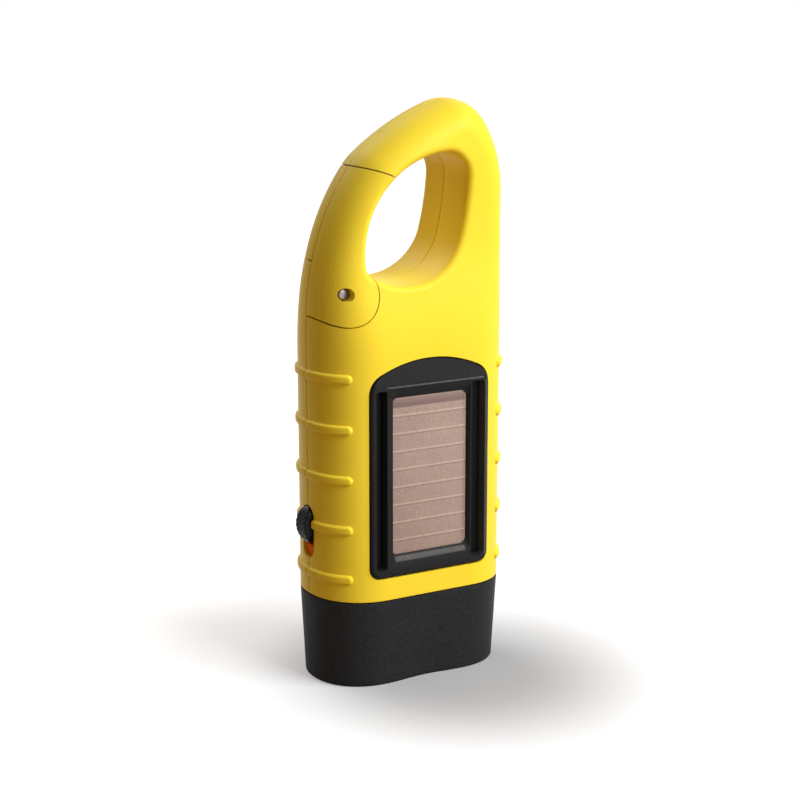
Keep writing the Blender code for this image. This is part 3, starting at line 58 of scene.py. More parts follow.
# %% [markdown]
# A surface is a grid of points, a function of two parameters, and neighbouring points make its four-sided
# faces. One helper turns grids into a closed mesh. Its points are given in millimetres round the case's
# middle, so the same numbers serve for the front half and the back half.
# %% From grids to meshes
MERGE_REACH = 0.002


def lattice(rows, columns, wrap_rows=False, wrap_columns=False):
    """Corner numbers of the faces between a grid's points: point r, c has the number r * columns + c."""
    r = np.arange(rows if wrap_rows else rows - 1)[:, None]
    c = np.arange(columns if wrap_columns else columns - 1)[None]
    r2, c2 = (r + 1) % rows, (c + 1) % columns
    corners = [r * columns + c, r * columns + c2, r2 * columns + c2, r2 * columns + c]
    return np.stack(corners, -1).reshape(-1, 4)


def surface(name, *grids, wrap=(False, False)):
    """One closed mesh from grids that share their borders. What stays open is level, and is filled."""
    points, faces, start = [], [], 0
    for grid in grids:
        rows, columns = grid.shape[:2]
        points.append(grid.reshape(-1, 3))
        faces.append(lattice(rows, columns, *wrap) + start)
        start += rows * columns
    mesh = bpy.data.meshes.new(name)
    mesh.from_pydata(((np.concatenate(points) + MIDDLE) * MM).tolist(), [], np.concatenate(faces).tolist())
    shape = bmesh.new()
    shape.from_mesh(mesh)
    bmesh.ops.remove_doubles(shape, verts=shape.verts, dist=MERGE_REACH * MM)
    bmesh.ops.holes_fill(shape, edges=[edge for edge in shape.edges if edge.is_boundary])
    bmesh.ops.recalc_face_normals(shape, faces=shape.faces)
    shape.to_mesh(mesh)
    shape.free()
    made = bpy.data.objects.new(name, mesh)
    bpy.context.scene.collection.objects.link(made)
    return made


def loft(name, loops):
    """A solid through closed loops of as many points each, with level ends."""
    return surface(name, np.array(loops), wrap=(False, True))


# %% [markdown]
# Holes, pockets and joints are real openings in these parts, so each is cut with a Boolean. A cutter is a
# solid of its own, and is used up by the cut.
# %% Cutting and joining
def carve(target, *tools, operation="DIFFERENCE"):
    """One Boolean step with each tool."""
    for tool in tools:
        step = target.modifiers.new("step", "BOOLEAN")
        step.operation = operation
        step.solver = "MANIFOLD"
        step.object = tool
        graph = bpy.context.evaluated_depsgraph_get()
        result = bpy.data.meshes.new_from_object(target.evaluated_get(graph))
        target.modifiers.clear()
        target.data = result
        bpy.data.objects.remove(tool)
    return target


def copy_of(source, name):
    made = bpy.data.objects.new(name, source.data.copy())
    bpy.context.scene.collection.objects.link(made)
    return made


# %% [markdown]
# The finishes come next. An expression such as 1 - mask * 0.4 reads better than a web of nodes, so a small
# class wraps one socket and adds a Math node for each operator.
# %% Shader maths
class Flow:
    """A number in a material, as a socket. Python's operators add Math nodes."""

    def __init__(self, finish, socket):
        self.finish = finish
        self.socket = socket

    def math(self, operation, *others):
        return self.finish.add("ShaderNodeMath", {"operation": operation}, self, *others)

    def __add__(self, other):
        return self.math("ADD", other)

    def __sub__(self, other):
        return self.math("SUBTRACT", other)

    def __rsub__(self, other):
        return self.finish.add("ShaderNodeMath", {"operation": "SUBTRACT"}, other, self)

    def __mul__(self, other):
        return self.math("MULTIPLY", other)

    def __truediv__(self, other):
        return self.math("DIVIDE", other)

    def __pow__(self, other):
        return self.math("POWER", other)

    def __lt__(self, other):
        return self.math("LESS_THAN", other)

    def __gt__(self, other):
        return self.math("GREATER_THAN", other)

    def __mod__(self, other):
        return self.math("FLOORED_MODULO", other)

    def __abs__(self):
        return self.math("ABSOLUTE")

    def clamp(self):
        return self.finish.add("ShaderNodeClamp", {}, self)

    def band(self, low, high):
        """0 below low, 1 above high, smooth between."""
        settings = {"interpolation_type": "SMOOTHSTEP"}
        return self.finish.add("ShaderNodeMapRange", settings, self, low, high, 0.0, 1.0)

    def between(self, low, high, soft):
        """1 between low and high, and smooth over the soft width inside each of them."""
        return self.band(low, low + soft) * (1.0 - self.band(high - soft, high))

    __radd__ = __add__
    __rmul__ = __mul__


class Finish:
    """A material with one Principled shader, whose fixed values are set on its own sockets."""

    def __init__(self, name, **fixed):
        self.material = bpy.data.materials.new(name)
        self.material.use_nodes = True
        self.tree = self.material.node_tree
        self.shader = self.tree.nodes["Principled BSDF"]
        for socket, value in fixed.items():
            self.shader.inputs[socket.replace("_", " ")].default_value = value
        self.place = self.add("ShaderNodeTexCoord", {}, output="Object")

    def add(self, kind, settings, *values, output=0, **named):
        """A node of any kind: its settings first, then the values or links of its sockets."""
        node = self.tree.nodes.new(kind)
        for key, value in settings.items():
            setattr(node, key, value)
        for key, value in [*enumerate(values), *named.items()]:
            socket = node.inputs[key.replace("_", " ") if isinstance(key, str) else key]
            self.feed(socket, value)
        return Flow(self, node.outputs[output])

    def feed(self, socket, value):
        if isinstance(value, Flow):
            self.tree.links.new(value.socket, socket)
        else:
            socket.default_value = value

    def set(self, **inputs):
        for name, value in inputs.items():
            self.feed(self.shader.inputs[name.replace("_", " ")], value)
        return self

    def noise(self, size, detail=2.0, stretch=(1, 1, 1)):
        """Noise whose spots are about size millimetres, 0 to 1."""
        scaled = tuple(share / (size * MM) for share in stretch)
        spread = self.add("ShaderNodeMapping", {"vector_type": "POINT"}, Vector=self.place, Scale=scaled)
        return self.add("ShaderNodeTexNoise", {}, Vector=spread, Scale=1.0, Detail=detail)

    def tint(self, share, low, high):
        """A colour between two, by a share."""
        node = self.tree.nodes.new("ShaderNodeMix")
        node.data_type = "RGBA"
        self.feed(node.inputs[0], share)
        self.feed(node.inputs[6], low if isinstance(low, Flow) else (*low, 1))
        self.feed(node.inputs[7], high if isinstance(high, Flow) else (*high, 1))
        return Flow(self, node.outputs[2])

    def bump(self, height, depth, strength):
        """A normal from a height of 0 to 1 that stands for depth millimetres."""
        return self.add("ShaderNodeBump", {}, Strength=strength, Distance=depth * MM, Height=height)

    def axes(self):
        """The place on the object along x, y and z, in millimetres round the case's middle."""
        parts = [self.add("ShaderNodeSeparateXYZ", {}, self.place, output=k) for k in range(3)]
        return [part / MM - middle for part, middle in zip(parts, MIDDLE)]


# %% [markdown]
# The case is injection moulded in a satin gloss yellow. Real mouldings are never quite even: the gloss
# drifts over a few millimetres, the skin has a faint orange peel, and handling leaves fine dull scratches.
# %% Yellow moulded plastic
YELLOW_DEEP, YELLOW_PALE = (0.900, 0.700, 0.040), (0.925, 0.735, 0.052)


def yellow_moulding():
    made = Finish("yellow_moulding", IOR=1.46, Specular_IOR_Level=0.11)
    drift = made.noise(28.0, detail=3.0)
    peel = made.noise(0.9, detail=2.0)
    scratch = made.noise(0.5, detail=1.0, stretch=(1, 1, 0.06)).band(0.66, 0.74)
    scratch = scratch * made.noise(9.0).band(0.5, 0.7)
    colour = made.tint(drift.band(0.3, 0.7), YELLOW_DEEP, YELLOW_PALE)
    return made.set(Base_Color=colour, Roughness=0.36 + drift * 0.06 + scratch * 0.10,
                    Normal=made.bump(peel, 0.012, 0.35)).material


YELLOW = yellow_moulding()

# %% [markdown]
# The head and the panel's frame are black plastic from a spark-eroded mould, which leaves a fine grain. Two
# sizes of noise, one thresholded into grains, give its bump, and the tops of the grains are a bit greyer.
# %% Black grained plastic
def black_grain(name, colour, grain, depth, roughness, gloss, marks=None):
    made = Finish(name, IOR=1.5, Specular_IOR_Level=gloss)
    grains = made.noise(grain, detail=2.0).band(0.38, 0.62)
    cloud = made.noise(grain * 22, detail=3.0)
    dark = tuple(part * 0.55 for part in colour)
    mixed = made.tint((grains * 0.6 + cloud * 0.4).clamp(), dark, colour)
    # Painted highlights and painted shade, where a finish has them, are laid over the grain here.
    if marks:
        mixed = marks(made, mixed, grains)
    return made.set(Base_Color=mixed, Roughness=roughness + cloud * 0.10 - grains * 0.06,
                    Normal=made.bump(grains, depth, 0.8)).material


HEAD_BLACK = black_grain("head_black", (0.0295, 0.0325, 0.038), 0.42, 0.035, 0.50, 0.045)
GRIP_BLACK = black_grain("grip_black", (0.006, 0.006, 0.007), 0.34, 0.020, 0.22, 0.12)

# %% [markdown]
# The frame's colour carries painted light. The ledge under the cell, the ridge above it and the flank beside
# the right channel are greyer as painted highlights, and the strip under the ridge and the floors of the
# channels are darker as painted shade. Each is a band of places on the frame, with the frame's own sizes.
# %% The frame's painted highlights and shade
CELL_HALF, CELL_BOTTOM, CELL_TOP = 10.1, 31.6, 68.6
LEFT_CHANNEL, RIGHT_CHANNEL = (-14.65, -11.75), (10.95, 14.65)
CHANNEL_BOTTOM, CHANNEL_TOP, CHANNEL_FLOOR = 28.4, 70.6, -12.55
BROW_HEIGHT, RIDGE_UNDER, RIDGE_OVER, RIDGE_BLUR, HIGHLIGHT_BLUR = 71.2, 0.18, 0.30, 0.14, 0.4
LEDGE_LOW, LEDGE_HIGH, LEDGE_END = CELL_BOTTOM - 1.7, CELL_BOTTOM - 0.2, CELL_HALF - 0.9
UNDER_END, CHANNEL_START = 11.4, 10.8
# The grey is for painted highlights, and the two blacks are for painted shade.
HIGHLIGHT_GREY, SHADED_BLACK, PAINTED_SHADE_BLACK = (0.130, 0.136, 0.140), (0.006, 0.007, 0.007), (0.002, 0.002, 0.002)


def frame_painted_light(made, mixed, grains):
    """The frame's colour with its painted highlight bands and painted shade bands laid over it, one after
    another.
    """
    x, y, z = made.axes()
    ledge_highlight = (1.0 - abs(x).band(LEDGE_END, LEDGE_END + 0.7)) * z.between(LEDGE_LOW, LEDGE_HIGH, HIGHLIGHT_BLUR)
    under = (1.0 - abs(x).band(UNDER_END, UNDER_END + 0.4)) * z.between(CELL_TOP, BROW_HEIGHT - 0.1, 0.2)
    painted_shade = y.band(CHANNEL_FLOOR - 0.3, CHANNEL_FLOOR - 0.1) * abs(x).band(CHANNEL_START, CHANNEL_START + 0.1)
    flank_highlight = x.band(RIGHT_CHANNEL[1] - 0.75, RIGHT_CHANNEL[1] - 0.45) * z.between(
        CHANNEL_BOTTOM - 0.2, CHANNEL_TOP + 0.2, 0.6)
    across = x.between(LEFT_CHANNEL[1] - 0.15, RIGHT_CHANNEL[1] - 0.35, HIGHLIGHT_BLUR)
    ridge_highlight = across * z.between(BROW_HEIGHT - RIDGE_UNDER, BROW_HEIGHT + RIDGE_OVER, RIDGE_BLUR)
    # Painted highlights on the ledge, the flank and the ridge; painted shade under the ridge and on the
    # channel floors.
    mixed = made.tint(ledge_highlight * (0.55 + grains * 0.25), mixed, HIGHLIGHT_GREY)
    mixed = made.tint(under * 0.35, mixed, SHADED_BLACK)
    mixed = made.tint(painted_shade * 0.85, mixed, PAINTED_SHADE_BLACK)
    mixed = made.tint(flank_highlight * 0.40, mixed, HIGHLIGHT_GREY)
    return made.tint(ridge_highlight * (0.50 + grains * 0.35), mixed, HIGHLIGHT_GREY)


FRAME_BLACK = black_grain("frame_black", (0.021, 0.0218, 0.024), 0.36, 0.045, 0.40, 0.07, frame_painted_light)

# %% [markdown]
# The solar cell is a thin film under a clear layer. Its eight scribed joints show as rows of pale dots
# across a brownish film, and the film itself has a woven-looking fine grain. A darker band along its top,
# fading upwards, is painted shadow from the brow, and a painted highlight pales its top and side edges.
# %% Solar film
SCRIBE_TOP, SCRIBE_PITCH, SCRIBE_COUNT, SCRIBE_WIDTH, SCRIBE_SHADE = 64.37, 4.19, 8, 0.27, 0.45
# From the band's low edge up the film takes painted shadow under the brow, with its own dark colour.
SHADOW_LOW, DOT_PITCH = 66.0, 0.82
FILM_DARK, FILM_PALE, FILM_SHADOW = (0.215, 0.143, 0.118), (0.395, 0.282, 0.243), (0.125, 0.066, 0.060)
# The pale edge colour is a painted highlight.
EDGE_HIGHLIGHT, SCRIBE_DARK, SCRIBE_PALE = (0.52, 0.40, 0.36), (0.15, 0.09, 0.07), (0.66, 0.53, 0.45)


def solar_film():
    made = Finish("solar_film", IOR=1.5, Coat_Weight=0.35, Coat_Roughness=0.12)
    x, _, z = made.axes()
    row = (z - SCRIBE_TOP) / SCRIBE_PITCH
    past_row = ((row + 0.5) % 1.0 - 0.5) * SCRIBE_PITCH
    in_rows = (row < 0.5) * (row > 0.5 - SCRIBE_COUNT)
    dots = abs((x / DOT_PITCH) % 1.0 - 0.5) * 2.0
    waver = made.noise(1.6, detail=1.0)
    line = (1.0 - abs(past_row).band(SCRIBE_WIDTH * 0.35, SCRIBE_WIDTH)) * in_rows
    mark = (line * (0.30 + 0.70 * (1.0 - dots.band(0.30, 0.75))) * (0.30 + waver * 1.1)).clamp()
    shade = (1.0 - abs(past_row + SCRIBE_SHADE).band(0.06, 0.22)) * in_rows
    grain = made.noise(0.26, detail=2.0).band(0.30, 0.70)
    cloud = made.noise(9.0, detail=2.0)
    # Painted shadow of the brow: the film darkens in a band along its top, fading upwards.
    painted_shade = z.band(SHADOW_LOW, SHADOW_LOW + 0.4) * (1.0 - z.band(SHADOW_LOW + 0.6, CELL_TOP) * 0.5)
    # Painted highlight along the film's top and side edges.
    side_highlight = abs(x).band(CELL_HALF - 0.50, CELL_HALF - 0.36)
    top_highlight = z.band(CELL_TOP - 0.45, CELL_TOP - 0.3)
    film = made.tint((grain * 0.5 + cloud * 0.5).clamp(), FILM_DARK, FILM_PALE)
    film = made.tint(painted_shade * (0.80 + cloud * 0.25).clamp(), film, FILM_SHADOW)
    film = made.tint((side_highlight + top_highlight).clamp() * 0.55, film, EDGE_HIGHLIGHT)
    film = made.tint(shade * 0.45, film, SCRIBE_DARK)
    return made.set(Base_Color=made.tint(mark * 0.62, film, SCRIBE_PALE), Roughness=0.34 + grain * 0.12,
                    Normal=made.bump(grain, 0.008, 0.5)).material


SOLAR = solar_film()

# %% [markdown]
# Metals and the inner parts each get a plain but real finish: turning marks on steel and brass, wound wire
# on the coil, solder mask on the boards.
# %% Metals and inner plastics
def metal(name, colour, roughness, turned=0.25):
    made = Finish(name, Metallic=1.0)
    fine = made.noise(turned, detail=2.0, stretch=(1, 0.2, 1))
    cloud = made.noise(4.0)
    dull = tuple(part * 0.82 for part in colour)
    return made.set(Base_Color=made.tint(cloud, dull, colour), Roughness=roughness + fine * 0.14,
                    Normal=made.bump(fine, 0.006, 0.4)).material


def moulding(name, colour, roughness, **fixed):
    made = Finish(name, **fixed)
    cloud = made.noise(3.0, detail=3.0)
    skin = made.noise(0.4)
    dull = tuple(part * 0.9 for part in colour)
    return made.set(Base_Color=made.tint(cloud, dull, colour), Roughness=roughness + cloud * 0.08,
                    Normal=made.bump(skin, 0.006, 0.4)).material


STEEL = metal("turned_steel", (0.62, 0.61, 0.60), 0.22)
# The pin's steel is a darker copy of the steel, painted shade for the pin deep in its hole.
SHADED_PIN_STEEL = metal("shaded_pin_steel", (0.27, 0.235, 0.235), 0.30)
BRASS = metal("turned_brass", (0.72, 0.50, 0.19), 0.26)
COPPER = metal("wound_copper", (0.75, 0.35, 0.17), 0.30, turned=0.30)
MIRROR = metal("bright_film", (0.90, 0.90, 0.91), 0.04, turned=1.5)
RED = moulding("red_mark", (0.96, 0.205, 0.006), 0.55, Specular_IOR_Level=0.06)
WHITE = moulding("gear_white", (0.80, 0.80, 0.77), 0.40)
GREY = moulding("switch_grey", (0.22, 0.22, 0.23), 0.45)
BOARD = moulding("green_board", (0.02, 0.20, 0.07), 0.32)
CLEAR = moulding("clear_plastic", (0.96, 0.97, 0.98), 0.02, Transmission_Weight=1.0, IOR=1.49)

# %% [markdown]
# A finished piece gets its material, its smooth shading and the body it moves with, and the parts it stands
# for are hidden. A fine bevel on cut edges catches the light as a moulded edge does.
# %% Handing a piece to the frame
SHARP = np.radians(32.0)


def settle(piece, material, body, slot, *nodes, bevel=0.0):
    piece.data.materials.clear()
    piece.data.materials.append(material)
    piece.data.shade_smooth()
    if bevel:
        edge = piece.modifiers.new("edges", "BEVEL")
        edge.width = bevel * MM
        edge.segments = 2
        edge.limit_method = "ANGLE"
        edge.angle_limit = SHARP
        edge.harden_normals = True
    else:
        piece.data.set_sharp_from_angle(angle=SHARP)
    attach(piece, body)
    if nodes:
        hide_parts(*nodes)
    print(piece.name, "stands for", nodes, "with", len(piece.data.polygons), "faces")


# %% [markdown]
# Most outlines on this flashlight are arcs that run into each other, so they are written that way: each arc
# has a radius and the degrees that it turns. Resampling then spreads points evenly along the outline.
# %% Outlines from arcs
ARC_STEP = 0.75


def quarter(steps):
    """The turns of a quarter circle, from none to a right angle."""
    return np.radians(np.linspace(0, 90, steps + 1))


def arcs(heading, chain):
    """Points along clockwise arcs. Each arc's centre lies one radius to the right of the heading."""
    point, angle, runs = np.zeros(2), np.radians(heading), [np.zeros((1, 2))]
    for radius, turned in chain:
        turn = np.radians(turned) * np.linspace(0, 1, max(2, round(turned / ARC_STEP)) + 1)[1:]
        centre = point + radius * np.array([np.sin(angle), -np.cos(angle)])
        run = centre + radius * np.stack([-np.sin(angle - turn), np.cos(angle - turn)], -1)
        runs.append(run)
        point, angle = run[-1], angle - turn[-1]
    return np.concatenate(runs)


def fitted(points, low, high):
    """The outline stretched to fill a box."""
    first, last = points.min(0), points.max(0)
    return np.array(low) + (points - first) * (np.array(high) - low) / (last - first)


def resample(points, count):
    """count + 1 points spread evenly by their distance along the line."""
    run = np.concatenate([[0], np.cumsum(np.linalg.norm(np.diff(points, axis=0), axis=1))])
    wanted = np.linspace(0, run[-1], count + 1)
    return np.stack([np.interp(wanted, run, points[:, k]) for k in range(points.shape[1])], -1)


def distance_to(line, places):
    """From each place to the nearest straight piece of the line."""
    a, way = line[:-1], np.diff(line, axis=0)
    away = places[..., None, :] - a
    share = np.clip((away * way).sum(-1) / (way ** 2).sum(-1), 0, 1)
    return np.linalg.norm(away - share[..., None] * way, axis=-1).min(-1)


def ring_of(centre, radius, count, start=0.0, end=360.0):
    """Points round an arc; a whole circle leaves out the point that would come twice."""
    angles = np.radians(np.linspace(start, end, count + 1))
    points = np.array(centre) + radius * np.stack([np.cos(angles), np.sin(angles)], -1)
    return points[:-1] if end - start == 360 else points


def rounded_box(low, high, corner, count=8):
    """A rectangle with round corners, anticlockwise from its lower right."""
    (x0, z0), (x1, z1) = np.array(low) + corner, np.array(high) - corner
    corners = ((x1, z0, -90), (x1, z1, 0), (x0, z1, 90), (x0, z0, 180))
    return np.concatenate([ring_of((x, z), corner, count, start, start + 90) for x, z, start in corners])


def slot_outline(centre, length, width, count=20):
    """Two half circles joined by straight sides, along the second axis."""
    radius = width / 2
    run = np.array((0, length / 2 - radius))
    return np.concatenate([ring_of(centre + run, radius, count, 0, 180),
                           ring_of(centre - run, radius, count, 180, 360)])


def facing_front(outline, depth):
    """An outline in x and z, at a depth from the parting plane."""
    return np.insert(outline, 1, depth, axis=1)


def facing_side(outline, x):
    """An outline in y and z, at a distance across the case."""
    return np.insert(outline, 0, x, axis=1)


# %% [markdown]
# The case is two half shells that meet on a plane. From the front its edge leans in on the gate's side,
# goes over the crown and comes straight down the spine, and the loop's opening is a rounded triangle.
# %% The case's two outlines
JOINT_HEIGHT = HEAD_HIGH[2] + 0.3
JOINT_HALF, BODY_HALF, LEAN_HEIGHT = (HEAD_HIGH - HEAD_LOW)[0] / 2, 24.65, 81.0
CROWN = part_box("front_shell")[1].z / MM
ARCH = ((2.20, 4.4), (0.97, 38.1), (0.32, 12.8), (1.50, 17.8), (0.22, 68.3), (0.50, 38.6))
OPENING = ((0.837, 88.90), (0.210, 97.99), (2.212, 12.43), (0.490, 62.33), (0.733, 39.07), (0.108, 59.28))
OPENING_HEADING = 93.04
OPENING_LOW, OPENING_HIGH = (-14.85, 93.4), (12.2, 123.2)
FOOT_SHARE = 0.89

arch = arcs(90, ARCH)
rise = (CROWN - LEAN_HEIGHT) / arch[:, 1].max()
arch = arch * (2 * BODY_HALF / arch[-1, 0], rise) + (-BODY_HALF, LEAN_HEIGHT)
edge_line = np.concatenate([arch, [(BODY_HALF, LEAN_HEIGHT)]])
case_line = np.concatenate([[(-JOINT_HALF, JOINT_HEIGHT)], edge_line, [(JOINT_HALF, JOINT_HEIGHT)]])
opening = arcs(OPENING_HEADING, OPENING)
opening = opening - (opening[-1] - opening[0]) * np.linspace(0, 1, len(opening))[:, None]
opening = fitted(opening, OPENING_LOW, OPENING_HIGH)
print("crown at", arch[:, 1].max().round(2), "and opening", opening.min(0).round(2), opening.max(0).round(2))

# %% [markdown]
# Seen from its end, each half swells from the parting plane along a curve a little fuller than a quarter
# ellipse, and then runs flat. Above the panel both halves thin down towards the loop. So the depth of the
# skin is a function of two things alone: how far a place is from the outline, and its height.
# %% The case's depth
HALF_DEPTH = (HEAD_HIGH - HEAD_LOW)[1] / 2
LOOP_DEPTH = {-1: 11.2, 1: 9.6}
BODY_EDGE, LOOP_EDGE = 13.2, 7.6
FULLNESS = 2.2
THINNING = (77.0, 104.0)
FILLET = {-1: 1.5, 1: 2.0}
SEAM, SEAM_ROUND = 0.10, 0.17


def smooth(share):
    share = np.clip(share, 0, 1)
    return share * share * (3 - 2 * share)


def thinning(z):
    return smooth((z - THINNING[0]) / (THINNING[1] - THINNING[0]))


def flat_depth(z, side):
    return HALF_DEPTH + (LOOP_DEPTH[side] - HALF_DEPTH) * thinning(z)


def edge_run(z):
    return BODY_EDGE + (LOOP_EDGE - BODY_EDGE) * thinning(z)


def skin_depth(inset, z, side):
    """flat * (1 - (1 - inset / run)^n)^(1/n), an ellipse where n is 2, that ends level."""
    share = np.clip(inset / edge_run(z), 0, 1)
    return flat_depth(z, side) * (1 - (1 - share) ** FULLNESS) ** (1 / FULLNESS)


def full_turn(turn):
    """The same curve by its turn: the cosine and sine, each to the power 2 / n."""
    power = 2 / FULLNESS
    return np.abs(np.cos(turn)) ** power, np.sign(turn) * np.abs(np.sin(turn)) ** power


def side_half(z):
    share = np.clip((z - JOINT_HEIGHT) / (LEAN_HEIGHT - JOINT_HEIGHT), 0, 1)
    return JOINT_HALF + (BODY_HALF - JOINT_HALF) * share


# %% [markdown]
# Five grip ribs wrap each side. They are raised in the same moulding, so they are a swelling of the skin
# and not separate bars: a flat top with round shoulders, and a half round end on the front and the back.
# %% The ribs
RIBS = 26.5 + 11.75 * np.arange(5)
RIB_HALF, RIB_PROUD, RIB_FRONT = 1.05, 0.7, 19.2
RIB_SLANT = 0.79


def rib_height(x, z):
    """proud * (1 - t^4)^0.5, where t is the distance from the rib's middle line over its half width."""
    away = np.abs(z[..., None] - RIBS).min(-1)
    beyond = np.maximum(0, RIB_FRONT + RIB_HALF - np.abs(x)) / RIB_SLANT
    t = np.clip(np.hypot(away, beyond) / RIB_HALF, 0, 1)
    return RIB_PROUD * (1 - t ** 4) ** 0.5


def with_ribs(x, depth, z):
    """Moves points out along the level normal of the skin's curve by the rib's height."""
    raised = rib_height(x, z)
    sine = np.clip(depth / HALF_DEPTH, 0, 1)
    steep = FULLNESS - 1
    across = (1 - sine ** FULLNESS) ** (steep / FULLNESS) * HALF_DEPTH
    normal = np.stack([across, sine ** steep * BODY_EDGE], -1)
    normal /= np.linalg.norm(normal, axis=-1, keepdims=True)
    return x + np.sign(x) * normal[..., 0] * raised, depth + normal[..., 1] * raised


# %% [markdown]
# The skin of one half is a grid. Its rows start on the parting plane, round over the seam's small radius
# and climb the ellipse. Below the loop they end on the middle line; round the loop they end at the opening,
# where a second grid takes over down its fillet and wall, and a third closes the half on the parting plane.
# %% Rows across the case
LOOP_ROWS, FAN_ROWS, RIB_ROWS, PLAIN_ROWS, SEAM_STEPS = 260, 26, 18, 8, 4
FAN_HEIGHT, RIB_BAND = 78.0, 1.3


def body_levels():
    """Heights of the rows below the loop, close together across each rib."""
    marks, last = [], JOINT_HEIGHT
    marks.append(last + SEAM_ROUND * (1 - np.cos(quarter(SEAM_STEPS))))
    last = last + SEAM_ROUND
    for level in RIBS:
        marks.append(np.linspace(last, level - RIB_BAND, PLAIN_ROWS + 1)[1:])
        marks.append(np.linspace(level - RIB_BAND, level + RIB_BAND, RIB_ROWS + 1)[1:])
        last = level + RIB_BAND
    marks.append(np.linspace(last, FAN_HEIGHT, PLAIN_ROWS + 1)[1:])
    return np.concatenate(marks)


levels = body_levels()
foot = round(LOOP_ROWS * FOOT_SHARE)
ring = np.roll(resample(np.concatenate([opening, opening[:1]]), LOOP_ROWS)[:-1], -foot, axis=0)
ring = np.concatenate([ring, ring[:1]])
way = np.roll(ring[:-1], -1, axis=0) - np.roll(ring[:-1], 1, axis=0)
way = np.concatenate([way, way[:1]])
away = np.stack([-way[:, 1], way[:, 0]], -1) / np.linalg.norm(way, axis=1, keepdims=True)
rim = resample(edge_line, LOOP_ROWS)
fan = np.linspace(0, 1, FAN_ROWS + 1)[1:-1]
print(len(levels), "level rows,", len(fan), "fan rows and", len(ring), "rows round the loop")


def all_rows(margin):
    """Each row's outer and inner end, the inner one kept a margin from the opening."""
    inner_loop = ring + away * margin
    low_left = np.stack([-side_half(levels), levels], -1)
    low_middle = np.stack([0 * levels, levels], -1)
    left_fan = np.stack([np.full(len(fan), -BODY_HALF), FAN_HEIGHT + (LEAN_HEIGHT - FAN_HEIGHT) * fan], -1)
    middle_fan = (0, FAN_HEIGHT) + (inner_loop[0] - (0, FAN_HEIGHT)) * fan[:, None]
    left, middle = np.concatenate([low_left, left_fan]), np.concatenate([low_middle, middle_fan])
    right = left * (-1, 1)
    return np.concatenate([left, rim, right[::-1]]), np.concatenate([middle, inner_loop, middle[::-1]])


# %% [markdown]
# With the rows known, the three grids of a half follow. The skin's columns stand close together where it
# turns fastest and where the ribs end. Its bottom edge gets the same small radius as the seam, so the joint
# with the head reads as a thin dark line between two soft edges.
# %% One half of the case
EDGE_STEPS, FLAT_STEPS, ROUND_STEPS, WALL_STEPS, FILLET_STEPS = 30, 8, 5, 6, 8
FIRST_TURN, EDGE_SHARE_MOST = 2.0, 0.9
RIB_END_SHARES, RIB_END_STEPS = (0.30, 0.45), 15


def case_skin(side):
    """From the parting plane over the seam's small radius, up the swelling, and along the flat."""
    outer, inner = all_rows(FILLET[side])
    length = np.linalg.norm(inner - outer, axis=1)
    reach = np.minimum(EDGE_SHARE_MOST, edge_run(outer[:, 1]) / length)[:, None]
    climb = 1 - np.cos(np.radians(np.linspace(FIRST_TURN, 90, EDGE_STEPS)))
    climb = np.sort(np.concatenate([climb, np.linspace(*RIB_END_SHARES, RIB_END_STEPS)]))
    shares = np.concatenate([reach * climb, reach + (1 - reach) * np.linspace(0, 1, FLAT_STEPS + 1)[1:]], 1)
    place = outer[:, None] + (inner - outer)[:, None] * shares[..., None]
    inset = distance_to(case_line, place)
    depth = np.maximum(skin_depth(inset, place[..., 1], side), SEAM + SEAM_ROUND)
    turn = quarter(ROUND_STEPS)[:-1]
    start = outer[:, None] + ((inner - outer) / length[:, None])[:, None] * (
        SEAM_ROUND * (1 - np.sin(turn)))[None, :, None]
    start_depth = np.broadcast_to(SEAM + SEAM_ROUND * (1 - np.cos(turn)), start.shape[:2])
    place = np.concatenate([start, place], 1)
    depth = np.concatenate([start_depth, depth], 1)
    x, depth = with_ribs(place[..., 0], depth, place[..., 1])
    z = place[..., 1]
    tuck = 1 - np.sqrt(1 - np.clip(1 - (z - JOINT_HEIGHT) / SEAM_ROUND, 0, 1) ** 2)
    x = x * (1 - tuck * SEAM_ROUND / JOINT_HALF)
    depth = depth - tuck * SEAM_ROUND * np.clip(depth / HALF_DEPTH, 0, 1)
    return np.stack([x, side * depth, z], -1)


def loop_bore(skin, side):
    """From the skin's inner border over the fillet, down the wall, and round the small radius at the seam."""
    first = len(levels) + len(fan)
    top = np.abs(skin[first:first + LOOP_ROWS + 1, -1:, 1])
    fillet, fall, tail = FILLET[side], quarter(FILLET_STEPS), quarter(ROUND_STEPS)[1:]
    over = ring[:, None] + away[:, None] * (fillet * (1 - np.sin(fall)))[None, :, None]
    over_depth = top - fillet * (1 - np.cos(fall))
    down = np.linspace(0, 1, WALL_STEPS + 1)[1:]
    wall_depth = over_depth[:, -1:] + (SEAM + SEAM_ROUND - over_depth[:, -1:]) * down
    wall = np.broadcast_to(ring[:, None], (*wall_depth.shape, 2))
    under = ring[:, None] + away[:, None] * (SEAM_ROUND * (1 - np.cos(tail)))[None, :, None]
    under_depth = np.broadcast_to(SEAM + SEAM_ROUND * (1 - np.sin(tail)), under.shape[:2])
    place = np.concatenate([over, wall, under], 1)
    depth = np.concatenate([over_depth, wall_depth, under_depth], 1)
    return np.stack([place[..., 0], side * depth, place[..., 1]], -1)


def case_half(name, side):
    """The skin, the loop's bore, and the level ring between them on the parting plane."""
    skin = case_skin(side)
    plane = np.stack([facing_front(all_rows(SEAM_ROUND)[1], side * SEAM), skin[:, 0]], 1)
    return surface(name, skin, loop_bore(skin, side), plane)


case_front = case_half("casing_front", -1)
case_back = case_half("casing_back", 1)
for half in (case_front, case_back):
    print(half.name, len(half.data.vertices), "points")

